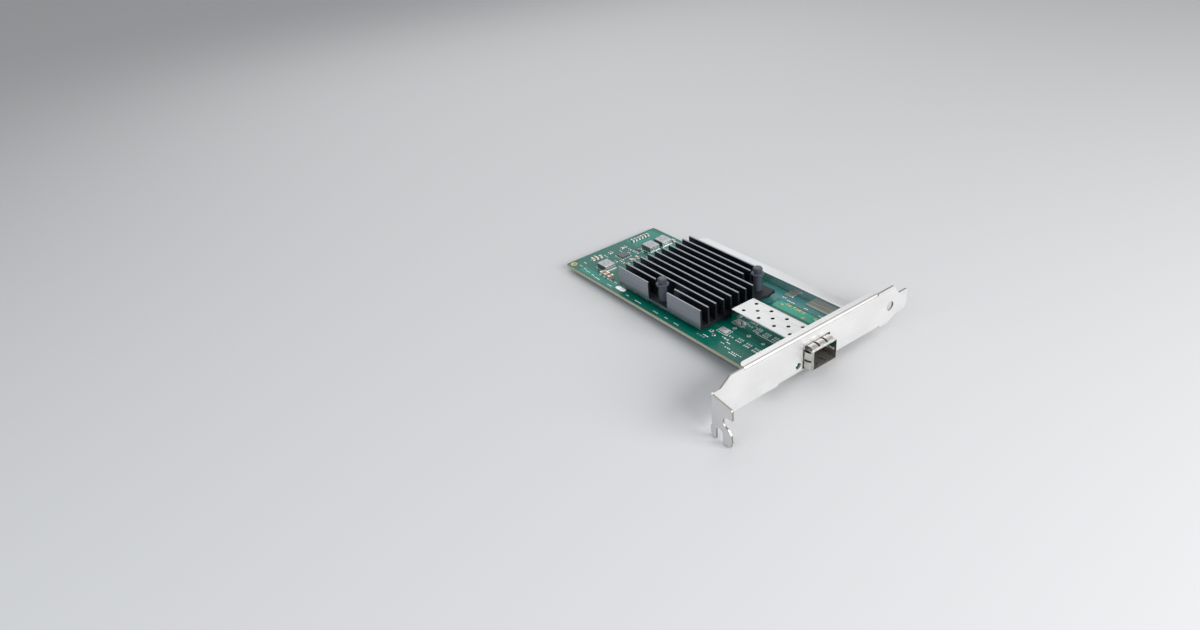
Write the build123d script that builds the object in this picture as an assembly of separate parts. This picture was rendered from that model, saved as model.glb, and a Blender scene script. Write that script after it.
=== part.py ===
from build123d import *
import os

os.makedirs("parts", exist_ok=True)

# A server network card: a low-profile board on a full-height panel bracket, with one pluggable-module port.
# Frame, in millimetres. X runs back from the bracket's outer face along the board.
# Y runs across the board, from its contact edge (0) towards the bracket's screw tab.
# Z is the height above the board's component side.

# Board
BOARD_T = 1.57
BOARD_FRONT = 1.3            # gap from the bracket's outer face to the board's front edge
BOARD_LENGTH = 149.7
BOARD_WIDTH = 60.65          # contact edge to top edge, without the tongue
BOARD_CORNER_R = 1.0
TOOLING_HOLE_R = 1.1
TOOLING_INSET = 3.0          # its centre from the board's end and from the top edge
BOARD_END = BOARD_FRONT + BOARD_LENGTH

# Contact tongue, eight lanes
TONGUE_X = 45.0
TONGUE_DROP = 8.25
TONGUE_BEVEL = 1.3
TONGUE_BEVEL_DEPTH = 0.45
CONTACT_PITCH = 1.0
CONTACT_W = 0.7
CONTACT_L = 5.6
CONTACT_T = 0.05
CONTACT_INSET = 1.5          # bare board left past the contacts, clear of the bevel
CONTACTS_BEFORE_KEY = 11
CONTACTS_AFTER_KEY = 38
KEY_W = 1.9
KEY_STEP = 3.0               # centre to centre across the key
TONGUE_MARGIN = 0.65         # outer contact's centre to the tongue's end
KEY_X = TONGUE_X + TONGUE_MARGIN + (CONTACTS_BEFORE_KEY - 1) * CONTACT_PITCH + KEY_STEP / 2
TONGUE_END = KEY_X + KEY_STEP / 2 + (CONTACTS_AFTER_KEY - 1) * CONTACT_PITCH + TONGUE_MARGIN

# Bracket, one folded sheet
SHEET_T = 0.86
BEND_R = 0.4                 # inside radius of each fold
BEND_OUT = BEND_R + SHEET_T
PLATE_Z0 = -BOARD_T - SHEET_T
PLATE_H = 18.42
PLATE_Z1 = PLATE_Z0 + PLATE_H
BRACKET_L = 120.02
TIP_Y = -25.67               # end of the bracket's tongue
TAB_Y = TIP_Y + BRACKET_L    # outer face of the screw tab
TAB_END_H = 14.57            # height of the plate's narrow end, beside the tab
SHOULDER_Y = TAB_Y - 4.95    # where the narrow end steps up to the full height
SHOULDER_RUN = 5.4
TONGUE_PLATE_W = 10.19
TONGUE_PLATE_Z0 = 0.57
TONGUE_PLATE_Z1 = TONGUE_PLATE_Z0 + TONGUE_PLATE_W
TONGUE_STEP_TOP_Y = TIP_Y + 10.07
TONGUE_STEP_TOP_RUN = 4.0
TONGUE_STEP_LOW_Y = TIP_Y + 12.77
TONGUE_STEP_RUN = 5.6
TONGUE_TIP_TOP_R = 0.8
TONGUE_TIP_LOW_R = 3.0
TONGUE_BEND_R = 1.1
RELIEF_W = 0.6               # nicks beside each fold
PANEL_HOLE_R = 2.25
PANEL_HOLE_Y = TIP_Y + 11.67
PANEL_HOLE_Z = TONGUE_PLATE_Z0 + 5.63

# Folded stiffening flange along the plate's upper edge
FLANGE_Y0 = -4.8
FLANGE_Y1 = SHOULDER_Y - 13.1
FLANGE_DEPTH = 4.0
FLANGE_CORNER_R = 2.6

# Lower flange, which carries the board on two ears
SEAT_Y0 = -6.8
SEAT_Y1 = 56.75
SEAT_DEPTH = 3.4
EAR_DEPTH = 9.6
EAR_W = 10.0
EAR_EDGE_GAP = 0.6           # ear to the board's top edge, and the same at the contact edge
EAR_HOLE_R = 1.5
SCREW_X = 6.0
SCREW_Y = (EAR_EDGE_GAP + EAR_W / 2, SEAT_Y1 - EAR_EDGE_GAP - EAR_W / 2)

# Screw tab
TAB_DEPTH = 11.43
TAB_TOP_DROP = 1.9           # how far the tab's upper edge falls towards its outer corner
TAB_LOW = -8.8
FORK_X = -4.15
FORK_W = 3.8
FORK_TOP = -2.4
NOTCH_X = -8.95
NOTCH_Z = 2.45
NOTCH_R = 2.75
PRONG_IN = 0.86

# Module cage, one port
CAGE_FRONT = -4.84
CAGE_L = 48.8
CAGE_W = 14.25
CAGE_H = 9.47
CAGE_T = 0.25
CAGE_Y = 34.43
CAGE_REAR = CAGE_FRONT + CAGE_L
VENT_R = 0.9
VENT_ROWS = 9
VENT_FIRST_X = CAGE_REAR - 4.66
VENT_LAST_X = CAGE_FRONT + 6.94
VENT_OFFSET_Y = 4.05
SIDE_SLOT = (5.0, 0.8)       # length and height of the slots high in each side wall
SIDE_SLOT_Z = 6.4
SIDE_SLOT_X = (CAGE_FRONT + 13.84, CAGE_REAR - 19.96)
SIDE_WINDOW = (3.0, 2.6)     # latch window low in each side wall
SIDE_WINDOW_Z = 3.0
SIDE_WINDOW_X = CAGE_REAR - 8.96
SKIRT_T = 0.25               # doubled sheet along the foot of each side wall, at the front
SKIRT_H = 3.4
SKIRT_X0 = 4.6
SKIRT_X1 = 29.1
LEG_W = 0.8
LEG_BELOW = 1.0
LEG_COUNT = 5
LEG_FIRST_X = 5.2
LEG_LAST_X = CAGE_REAR - 2.36
LEG_HOLE_R = 0.6
PORT_GAP = 1.15              # cage to the edge of the bracket's port

# Spring fingers round the cage's nose
FINGER_T = 0.16
FINGER_BULGE = 0.8
FINGER_COLLAR = 0.9          # solid band at the nose
FINGER_REACH = 5.5           # nose to the tips, which end inside the port
FINGER_SLIT = 1.0
WIDE_FINGER_COUNT = 3        # along the top and along the bottom
HIGH_FINGER_COUNT = 2        # on each side
FINGER_ROW_WIDE = CAGE_W - 1.3
FINGER_ROW_HIGH = CAGE_H - 1.6
FINGER_ROW_Z = FINGER_ROW_HIGH / 2 + 0.15
CORNER_SLOT = 0.55           # open corner between the top and side fingers

# Host connector in the rear of the cage
SOCKET_X1 = CAGE_REAR - 2.36
SOCKET_X0 = SOCKET_X1 - 8.4
SOCKET_W = 11.6
SOCKET_H = 5.6
SOCKET_MOUTH_W = 9.4
SOCKET_MOUTH_H = 1.5
SOCKET_MOUTH_Z = 3.1
SOCKET_MOUTH_D = 5.6
PIN_COUNT = 10
PIN_PITCH = 0.8
PIN_W = 0.36
PIN_T = 0.18
PIN_FOOT = 1.3

# Port indicator
LED_Y = 45.3
LED_Z = 1.7
LED_HOLE_R = 1.5
LED_LENS_R = 1.15
LED_NOSE_BEVEL = 0.3
LED_BODY = (2.4, 3.2, 3.1)
LED_BODY_X = 2.3

# Controller, its thermal pad and the heatsink
CHIP_W = 25.0
CHIP_SUBSTRATE_T = 0.75
CHIP_CAP_W = 22.5
CHIP_H = 1.75
PAD_T = 0.25
PAD_W = 24.0
SINK_X0 = CAGE_REAR + 5.14
SINK_L = 60.6
SINK_X1 = SINK_X0 + SINK_L
SINK_Y1 = 56.0
SINK_BASE_T = 1.6
SINK_TOP = 12.23
FIN_COUNT = 11
FIN_PITCH = 4.68
FIN_T = 1.0
SINK_Z0 = CHIP_H + PAD_T
SINK_Y0 = SINK_Y1 - (FIN_COUNT - 1) * FIN_PITCH - FIN_T
SINK_EAR_R = 4.2
SINK_EAR_STEP = 3.2          # the ear's centre lies this far outside the pin
POCKET_BEFORE = 7.7          # first pin's pocket, before and after the pin
POCKET_AFTER = 6.2
POCKET_INWARD = 3.6
POCKET_2_AFTER = 4.6         # second pin's pocket, which runs out of the sink's end
POCKET_2_INWARD = 6.2

# Push pins
PIN_1 = (SINK_X0 + 31.1, SINK_Y1 - 4.1)
PIN_2 = (SINK_X0 + 6.5, SINK_Y0 + 5.1)
PUSH_BARREL_R = 2.15
PUSH_SHANK_R = 1.45          # where the pin passes through the heatsink's base and the board
PUSH_HOLE_R = 1.6
PUSH_COLLAR_R = 3.15
PUSH_COLLAR_T = 0.9
PUSH_COLLAR_Z = 12.0
PUSH_NECK_R = 1.8
PUSH_KNOB_R = 2.35
PUSH_KNOB_TOP = 15.7
PUSH_FLATS = 8
PUSH_BARB_R = 1.85
PUSH_BARB_DROP = 2.6
PUSH_SPLIT_W = 0.6

# Rail along the contact edge
RAIL_T = 0.8
RAIL_H = 4.6
RAIL_DEPTH = 6.0
RAIL_X0 = 2.4
RAIL_X1 = 114.6
RAIL_CORNER = 2.4
RAIL_BEND_R = 0.35
RAIL_FOOT_W = 3.8
RAIL_FEET = ((17.0, 17.0), (42.4, 4.8), (99.5, 4.8))


def box(x0, x1, y0, y1, z0, z1):
    """A block between two corners."""
    size = (x1 - x0, y1 - y0, z1 - z0)
    centre = ((x0 + x1) / 2, (y0 + y1) / 2, (z0 + z1) / 2)
    return Pos(*centre) * Box(*size)


def centred(x, y, z0, size):
    """A block of a given size, centred on x and y, standing on z0."""
    return Pos(x, y, z0 + size[2] / 2) * Box(*size)


def post(x, y, z0, z1, radius):
    """An upright round post or drill."""
    return Pos(x, y, (z0 + z1) / 2) * Cylinder(radius, z1 - z0)


def drill_x(y, z, x0, x1, radius):
    """A round drill along X."""
    return Pos((x0 + x1) / 2, y, z) * Rot(0, 90, 0) * Cylinder(radius, x1 - x0)


def group(solids):
    """Separate solids of one node."""
    return Compound(children=[s for s in solids])


def leg_places():
    """Where the cage's legs pass through the board, on both sides of the cage."""
    half = CAGE_W / 2 - CAGE_T / 2
    step = (LEG_LAST_X - LEG_FIRST_X) / (LEG_COUNT - 1)
    return [(LEG_FIRST_X + i * step, CAGE_Y + side * half) for side in (-1, 1) for i in range(LEG_COUNT)]


# Board

def board():
    body = box(BOARD_FRONT, BOARD_END, 0, BOARD_WIDTH, -BOARD_T, 0)
    body = fillet(body.edges().filter_by(Axis.Z), BOARD_CORNER_R)
    tongue = box(TONGUE_X, TONGUE_END, -TONGUE_DROP, 1, -BOARD_T, 0)
    lip = tongue.edges().filter_by(Axis.X).group_by(Axis.Y)[0]
    tongue = chamfer(lip, TONGUE_BEVEL_DEPTH, TONGUE_BEVEL, reference=tongue.faces().sort_by(Axis.Y)[0])
    body += tongue
    key = box(KEY_X - KEY_W / 2, KEY_X + KEY_W / 2, -TONGUE_DROP - 1, 0, -BOARD_T - 1, 1)
    body -= fillet(key.edges().filter_by(Axis.Z).group_by(Axis.Y)[-1], KEY_W / 2 - 0.05)
    for y in SCREW_Y:
        body -= post(SCREW_X, y, -BOARD_T - 1, 1, EAR_HOLE_R + 0.1)
    for x, y in (PIN_1, PIN_2):
        body -= post(x, y, -BOARD_T - 1, 1, PUSH_HOLE_R)
    for x, y in leg_places():
        body -= post(x, y, -BOARD_T - 1, 1, LEG_HOLE_R)
    body -= post(BOARD_END - TOOLING_INSET, BOARD_WIDTH - TOOLING_INSET, -BOARD_T - 1, 1, TOOLING_HOLE_R)
    return body


def contact_columns():
    """X of each contact's centre, on both sides of the key."""
    first = TONGUE_X + TONGUE_MARGIN
    before = [first + i * CONTACT_PITCH for i in range(CONTACTS_BEFORE_KEY)]
    start = KEY_X + KEY_STEP / 2
    after = [start + i * CONTACT_PITCH for i in range(CONTACTS_AFTER_KEY)]
    return before + after


def contacts():
    y0 = -TONGUE_DROP + CONTACT_INSET
    pads = []
    for x in contact_columns():
        for z in (0, -BOARD_T - CONTACT_T):
            pads.append(box(x - CONTACT_W / 2, x + CONTACT_W / 2, y0, y0 + CONTACT_L, z, z + CONTACT_T))
    return group(pads)


# Bracket

def fold_section(depth):
    """The turned-in flange's section in X and Z, from the plate round the fold to its free edge."""
    ring = Circle(BEND_OUT) - Circle(BEND_R)
    ring &= Pos(-BEND_OUT / 2, BEND_OUT / 2) * Rectangle(BEND_OUT, BEND_OUT)
    run = depth - BEND_OUT
    flat = Pos(run / 2, BEND_R + SHEET_T / 2) * Rectangle(run, SHEET_T)
    return ring + flat


def folded_edge(depth, y0, y1):
    """A flange folded back from the plate's upper edge, between y0 and y1."""
    plane = Plane(origin=(BEND_OUT, y0, PLATE_Z1 - BEND_OUT), x_dir=(1, 0, 0), z_dir=(0, -1, 0))
    return extrude(plane * fold_section(depth), -(y1 - y0))


def upper_flange():
    flange = folded_edge(FLANGE_DEPTH, FLANGE_Y0, FLANGE_Y1)
    corners = flange.edges().filter_by(Axis.Z).group_by(Axis.X)[-1]
    return fillet(corners, FLANGE_CORNER_R)


def lower_flange():
    """The board's seat: a shallow flange under its front edge, with two deep ears for the screws."""
    flange = folded_edge(EAR_DEPTH, SEAT_Y0, SEAT_Y1)
    keep = box(-1, SEAT_DEPTH, SEAT_Y0, SEAT_Y1, 0, PLATE_Z1 + 1)
    for y in SCREW_Y:
        keep += box(-1, EAR_DEPTH, y - EAR_W / 2, y + EAR_W / 2, 0, PLATE_Z1 + 1)
    flange &= keep
    corners = flange.edges().filter_by(Axis.Z).group_by(Axis.X)[-1]
    flange = fillet(corners, 2.0)
    for y in SCREW_Y:
        flange -= post(SCREW_X, y, 0, PLATE_Z1 + 1, EAR_HOLE_R)
    middle = Plane.XY.offset((PLATE_Z0 + PLATE_Z1) / 2)
    return mirror(flange, about=middle)


def rounded(outline, corners, radius):
    """Rounds the named corners of a flat outline."""
    picked = [v for v in outline.vertices() if any(abs(v.X - y) + abs(v.Y - z) < 0.01 for y, z in corners)]
    return fillet(picked, radius)


def plate_outline():
    """The plate's outline in Y and Z, less the strips that turn into the two flanges and the tab."""
    fold_top = PLATE_Z1 - BEND_OUT
    fold_low = PLATE_Z0 + BEND_OUT
    narrow = PLATE_Z0 + TAB_END_H
    high_bend = (TONGUE_STEP_TOP_Y - TONGUE_STEP_TOP_RUN, TONGUE_PLATE_Z1)
    low_bend = (TONGUE_STEP_LOW_Y - TONGUE_STEP_RUN, TONGUE_PLATE_Z0)
    tip = [(TIP_Y, TONGUE_PLATE_Z1), (TIP_Y, TONGUE_PLATE_Z0)]
    points = [
        (TAB_Y - BEND_OUT, PLATE_Z0), (TAB_Y - BEND_OUT, narrow), (SHOULDER_Y, narrow),
        (SHOULDER_Y - SHOULDER_RUN, PLATE_Z1), (FLANGE_Y1 + RELIEF_W, PLATE_Z1), (FLANGE_Y1, fold_top),
        (FLANGE_Y0, fold_top), (FLANGE_Y0 - RELIEF_W, PLATE_Z1), (TONGUE_STEP_TOP_Y, PLATE_Z1),
        high_bend, *tip, low_bend, (TONGUE_STEP_LOW_Y, PLATE_Z0), (SEAT_Y0 - RELIEF_W, PLATE_Z0),
        (SEAT_Y0, fold_low), (SEAT_Y1, fold_low), (SEAT_Y1 + RELIEF_W, PLATE_Z0),
    ]
    outline = make_face(Polyline(*points, close=True))
    outline = rounded(outline, tip[:1], TONGUE_TIP_TOP_R)
    outline = rounded(outline, tip[1:], TONGUE_TIP_LOW_R)
    return rounded(outline, [high_bend, low_bend], TONGUE_BEND_R)


def plate():
    plane = Plane(origin=(0, 0, 0), x_dir=(0, 1, 0), z_dir=(1, 0, 0))
    body = extrude(plane * plate_outline(), SHEET_T)
    half = CAGE_W / 2 + PORT_GAP
    port = box(-1, SHEET_T + 1, CAGE_Y - half, CAGE_Y + half, -PORT_GAP, CAGE_H + PORT_GAP)
    body -= fillet(port.edges().filter_by(Axis.X), 0.5)
    body -= drill_x(PANEL_HOLE_Y, PANEL_HOLE_Z, -1, SHEET_T + 1, PANEL_HOLE_R)
    body -= drill_x(LED_Y, LED_Z, -1, SHEET_T + 1, LED_HOLE_R)
    return body


def tab_fold():
    """The quarter turn from the plate into the tab."""
    ring = Circle(BEND_OUT) - Circle(BEND_R)
    ring &= Pos(BEND_OUT / 2, BEND_OUT / 2) * Rectangle(BEND_OUT, BEND_OUT)
    turn = Pos(-BEND_R, TAB_Y - BEND_OUT, PLATE_Z0) * extrude(ring, TAB_END_H)
    return turn


def tab_outline():
    """The tab's outline in X and Z: a sloped top, a fork for the screw and a notch in the outer edge."""
    top = PLATE_Z0 + TAB_END_H
    outer = -TAB_DEPTH
    points = [
        (-BEND_R, top), (outer + 0.4, top - TAB_TOP_DROP), (outer, top - TAB_TOP_DROP - 0.5),
        (outer, NOTCH_Z + NOTCH_R), (NOTCH_X, NOTCH_Z + NOTCH_R), (NOTCH_X, NOTCH_Z - NOTCH_R),
        (outer + 0.6, NOTCH_Z - NOTCH_R - 2.1), (outer + 0.25, TAB_LOW + 3.2), (outer + 1.3, TAB_LOW),
        (PRONG_IN - 0.5, TAB_LOW), (PRONG_IN, TAB_LOW + 3.0), (PRONG_IN, PLATE_Z0 - 0.9),
        (-BEND_R, PLATE_Z0 - 0.3),
    ]
    outline = make_face(Polyline(*points, close=True))
    outline -= Pos(NOTCH_X, NOTCH_Z) * Circle(NOTCH_R)
    crown = FORK_TOP - FORK_W / 2
    outline -= Pos(FORK_X, crown) * Circle(FORK_W / 2)
    outline -= Pos(FORK_X, crown - 10) * Rectangle(FORK_W, 20)
    tips = [v for v in outline.vertices() if v.Y < TAB_LOW + 0.1]
    return fillet(tips, 1.0)


def tab():
    plane = Plane(origin=(0, TAB_Y, 0), x_dir=(1, 0, 0), z_dir=(0, -1, 0))
    return extrude(plane * tab_outline(), SHEET_T)


def bracket():
    return plate() + upper_flange() + lower_flange() + tab_fold() + tab()


def bracket_screws():
    screws = []
    for y in SCREW_Y:
        shank = post(SCREW_X, y, PLATE_Z0 - 0.4, 0.2, EAR_HOLE_R - 0.05)
        head = post(SCREW_X, y, 0, 2.0, 2.75)
        head = chamfer(head.edges().group_by(Axis.Z)[-1], 0.5)
        recess = centred(SCREW_X, y, 1.1, (3.0, 0.7, 1.0)) + centred(SCREW_X, y, 1.1, (0.7, 3.0, 1.0))
        screws.append(shank + head - recess)
    return group(screws)


# Module cage

def cage_shell():
    """Roof, two side walls and rear wall, folded from thin sheet, with legs through the board."""
    half = CAGE_W / 2
    outer = box(CAGE_FRONT, CAGE_REAR, CAGE_Y - half, CAGE_Y + half, 0, CAGE_H)
    outer = fillet(outer.edges().filter_by(Axis.X).group_by(Axis.Z)[-1], 0.6)
    inner = box(CAGE_FRONT - 1, CAGE_REAR - CAGE_T, CAGE_Y - half + CAGE_T, CAGE_Y + half - CAGE_T,
                -1, CAGE_H - CAGE_T)
    shell = outer - fillet(inner.edges().filter_by(Axis.X).group_by(Axis.Z)[-1], 0.35)
    pitch = (VENT_FIRST_X - VENT_LAST_X) / (VENT_ROWS - 1)
    for row in range(VENT_ROWS):
        x = VENT_FIRST_X - row * pitch
        offsets = (-VENT_OFFSET_Y, VENT_OFFSET_Y) if row % 2 == 0 else (0,)
        for dy in offsets:
            shell -= post(x, CAGE_Y + dy, CAGE_H - 1, CAGE_H + 1, VENT_R)
    for side in (-1, 1):
        y = CAGE_Y + side * half
        for x in SIDE_SLOT_X:
            shell -= box(x, x + SIDE_SLOT[0], y - 1, y + 1, SIDE_SLOT_Z, SIDE_SLOT_Z + SIDE_SLOT[1])
        shell -= box(SIDE_WINDOW_X, SIDE_WINDOW_X + SIDE_WINDOW[0], y - 1, y + 1,
                     SIDE_WINDOW_Z, SIDE_WINDOW_Z + SIDE_WINDOW[1])
        shell += skirt(side)
    shell -= nose_slots()
    for x, y in leg_places():
        shell += box(x - LEG_W / 2, x + LEG_W / 2, y - CAGE_T / 2, y + CAGE_T / 2,
                     -BOARD_T - LEG_BELOW, 0.5)
    return shell


def skirt(side):
    """The doubled sheet along the foot of one side wall, with a sloped rear corner."""
    y = CAGE_Y + side * (CAGE_W / 2 + SKIRT_T / 2)
    strip = box(SKIRT_X0, SKIRT_X1, y - SKIRT_T / 2, y + SKIRT_T / 2, 0.1, SKIRT_H)
    corner = strip.edges().filter_by(Axis.Y).group_by(Axis.X)[-1].sort_by(Axis.Z)[-1:]
    return chamfer(corner, 0.8)


def slot_places(width, count):
    """Middles of the slots between a row of fingers."""
    pitch = (width + FINGER_SLIT) / count
    return [-width / 2 + i * pitch - FINGER_SLIT / 2 for i in range(1, count)]


def nose_slots():
    """Cutters for the open slots between the fingers, through the cage's roof, floor and side walls."""
    x0 = CAGE_FRONT + FINGER_COLLAR + 0.15
    x1 = CAGE_FRONT + FINGER_REACH - 0.4
    half = FINGER_SLIT / 2
    cutters = []
    for dy in slot_places(FINGER_ROW_WIDE, WIDE_FINGER_COUNT):
        cutters.append(box(x0, x1, CAGE_Y + dy - half, CAGE_Y + dy + half, -1, CAGE_H + 1))
    for dz in slot_places(FINGER_ROW_HIGH, HIGH_FINGER_COUNT):
        z = FINGER_ROW_Z + dz
        cutters.append(box(x0, x1, CAGE_Y - CAGE_W, CAGE_Y + CAGE_W, z - half, z + half))
    for side in (-1, 1):
        y = CAGE_Y + side * CAGE_W / 2
        cutters.append(box(x0, x1, y - CORNER_SLOT, y + CORNER_SLOT, CAGE_H - CORNER_SLOT, CAGE_H + 1))
    return Compound(children=cutters)


def cage_floor():
    """Bottom plate, cut out at the rear for the host connector, with the latch window behind the nose."""
    half = CAGE_W / 2 - CAGE_T - 0.02
    floor = box(CAGE_FRONT, SOCKET_X0 - 0.6, CAGE_Y - half, CAGE_Y + half, 0, CAGE_T)
    latch = box(2.2, 6.0, CAGE_Y - 2.2, CAGE_Y + 2.2, -1, 1)
    floor -= fillet(latch.edges().filter_by(Axis.Z), 0.8)
    floor -= nose_slots()
    for side in (-1, 1):
        y = CAGE_Y + side * (half - 0.4)
        floor += box(CAGE_FRONT + FINGER_REACH, SOCKET_X0 - 1.4, y - 0.1, y + 0.1, 0, 0.9)
    return floor


def finger_profile():
    """One spring finger's long section: a flat band at the nose, then a shallow bow back to its tip."""
    chord = FINGER_REACH - FINGER_COLLAR
    radius = (chord ** 2 / 4 + FINGER_BULGE ** 2) / (2 * FINGER_BULGE)
    bow = Circle(radius + FINGER_T / 2) - Circle(radius - FINGER_T / 2)
    bow = Pos(FINGER_COLLAR + chord / 2, FINGER_BULGE - radius) * bow
    bow &= Pos(FINGER_REACH / 2, 5 - FINGER_T / 2) * Rectangle(FINGER_REACH + 1, 10)
    return bow + Pos(FINGER_COLLAR / 2, 0) * Rectangle(FINGER_COLLAR + FINGER_T, FINGER_T)


def finger_row(width, count, centre, outward):
    """A row of fingers on one face of the nose; outward is the face's direction in the YZ plane."""
    along = Vector(0, -outward.Z, outward.Y)
    plane = Plane(origin=centre, x_dir=(1, 0, 0), z_dir=along)
    if plane.y_dir.dot(outward) < 0:
        plane = Plane(origin=centre, x_dir=(1, 0, 0), z_dir=-along)
    body = extrude(plane * finger_profile(), width / 2, both=True)
    length = FINGER_REACH - FINGER_COLLAR
    for place in slot_places(width, count):
        cut = Plane(origin=centre + plane.z_dir * place, x_dir=(1, 0, 0), z_dir=outward)
        body -= extrude(cut * Pos(FINGER_COLLAR + length / 2 + 0.5, 0) * Rectangle(length + 1, FINGER_SLIT),
                        3, both=True)
    return body


def finger_collar():
    """The grounding collar: a thin band round the nose with spring fingers on all four faces."""
    lift = FINGER_T / 2
    half = CAGE_W / 2 + lift
    mid = FINGER_ROW_Z
    x = CAGE_FRONT + 0.15
    wide, high = FINGER_ROW_WIDE, FINGER_ROW_HIGH
    top = finger_row(wide, WIDE_FINGER_COUNT, Vector(x, CAGE_Y, CAGE_H + lift), Vector(0, 0, 1))
    bottom = finger_row(wide, WIDE_FINGER_COUNT, Vector(x, CAGE_Y, -lift), Vector(0, 0, -1))
    left = finger_row(high, HIGH_FINGER_COUNT, Vector(x, CAGE_Y + half, mid), Vector(0, 1, 0))
    right = finger_row(high, HIGH_FINGER_COUNT, Vector(x, CAGE_Y - half, mid), Vector(0, -1, 0))
    band = box(x, x + FINGER_COLLAR, CAGE_Y - half - lift, CAGE_Y + half + lift, -FINGER_T, CAGE_H + FINGER_T)
    band = fillet(band.edges().filter_by(Axis.X).group_by(Axis.Z)[-1], 0.7)
    hollow = box(x - 1, x + FINGER_COLLAR + 1, CAGE_Y - CAGE_W / 2, CAGE_Y + CAGE_W / 2, 0, CAGE_H)
    band -= fillet(hollow.edges().filter_by(Axis.X).group_by(Axis.Z)[-1], 0.6)
    return band + top + bottom + left + right


def host_socket():
    """The host connector's housing: a block with a card slot in its front face."""
    body = box(SOCKET_X0, SOCKET_X1, CAGE_Y - SOCKET_W / 2, CAGE_Y + SOCKET_W / 2, 0, SOCKET_H)
    body = chamfer(body.edges().group_by(Axis.X)[0], 0.4)
    z = SOCKET_MOUTH_Z
    body -= box(SOCKET_X0 - 1, SOCKET_X0 + SOCKET_MOUTH_D, CAGE_Y - SOCKET_MOUTH_W / 2,
                CAGE_Y + SOCKET_MOUTH_W / 2, z - SOCKET_MOUTH_H / 2, z + SOCKET_MOUTH_H / 2)
    body -= box(SOCKET_X1 - 1.2, SOCKET_X1 + 1, CAGE_Y - SOCKET_MOUTH_W / 2, CAGE_Y + SOCKET_MOUTH_W / 2,
                -1, 1.2)
    return body


def socket_pins():
    """Ten lower and ten upper contacts in the socket's mouth, and the lower row's feet on the board."""
    pins = []
    for i in range(PIN_COUNT):
        y = CAGE_Y + (i - (PIN_COUNT - 1) / 2) * PIN_PITCH
        for side in (-1, 1):
            z = SOCKET_MOUTH_Z + side * (SOCKET_MOUTH_H / 2 - PIN_T / 2)
            pins.append(box(SOCKET_X0 + 0.7, SOCKET_X0 + SOCKET_MOUTH_D, y - PIN_W / 2, y + PIN_W / 2,
                            z - PIN_T / 2, z + PIN_T / 2))
        pins.append(box(SOCKET_X1 - 1.2, SOCKET_X1 - 1.2 + PIN_FOOT, y - PIN_W / 2, y + PIN_W / 2, 0, PIN_T))
    return group(pins)


def led_package():
    size = LED_BODY
    body = centred(LED_BODY_X + size[0] / 2, LED_Y, 0, size)
    body = chamfer(body.edges().group_by(Axis.Z)[-1], 0.2)
    nose = drill_x(LED_Y, LED_Z, SHEET_T + 0.3, LED_BODY_X + 0.4, LED_LENS_R)
    return body + chamfer(nose.edges().group_by(Axis.X)[0], LED_NOSE_BEVEL)


# Controller and heatsink

def sink_centre():
    return (SINK_X0 + SINK_X1) / 2, (SINK_Y0 + SINK_Y1) / 2


def controller_chip():
    x, y = sink_centre()
    body = centred(x, y, 0, (CHIP_W, CHIP_W, CHIP_SUBSTRATE_T))
    cap = centred(x, y, CHIP_SUBSTRATE_T, (CHIP_CAP_W, CHIP_CAP_W, CHIP_H - CHIP_SUBSTRATE_T))
    cap = chamfer(cap.edges().group_by(Axis.Z)[-1], 0.25)
    return body + cap


def thermal_pad():
    x, y = sink_centre()
    return centred(x, y, CHIP_H, (PAD_W, PAD_W, PAD_T))


def heatsink():
    """Extruded fins on a thin base, milled away round the two push pins."""
    base_top = SINK_Z0 + SINK_BASE_T
    sink = box(SINK_X0, SINK_X1, SINK_Y0, SINK_Y1, SINK_Z0, base_top)
    sink += post(PIN_2[0] - SINK_EAR_STEP, PIN_2[1], SINK_Z0, base_top, SINK_EAR_R)
    for i in range(FIN_COUNT):
        y1 = SINK_Y1 - i * FIN_PITCH
        fin = box(SINK_X0, SINK_X1, y1 - FIN_T, y1, SINK_Z0, SINK_TOP)
        sink += fillet(fin.edges().filter_by(Axis.X).group_by(Axis.Z)[-1], FIN_T * 0.3)
    x, y = PIN_1
    sink -= box(x - POCKET_BEFORE, x + POCKET_AFTER, y - POCKET_INWARD, SINK_Y1 + 1, base_top, SINK_TOP + 1)
    x, y = PIN_2
    sink -= box(SINK_X0 - 1, x + POCKET_2_AFTER, SINK_Y0 - 1, y + POCKET_2_INWARD, base_top, SINK_TOP + 1)
    for x, y in (PIN_1, PIN_2):
        sink -= post(x, y, SINK_Z0 - 1, base_top + 1, PUSH_HOLE_R + 0.1)
    return sink


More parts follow.
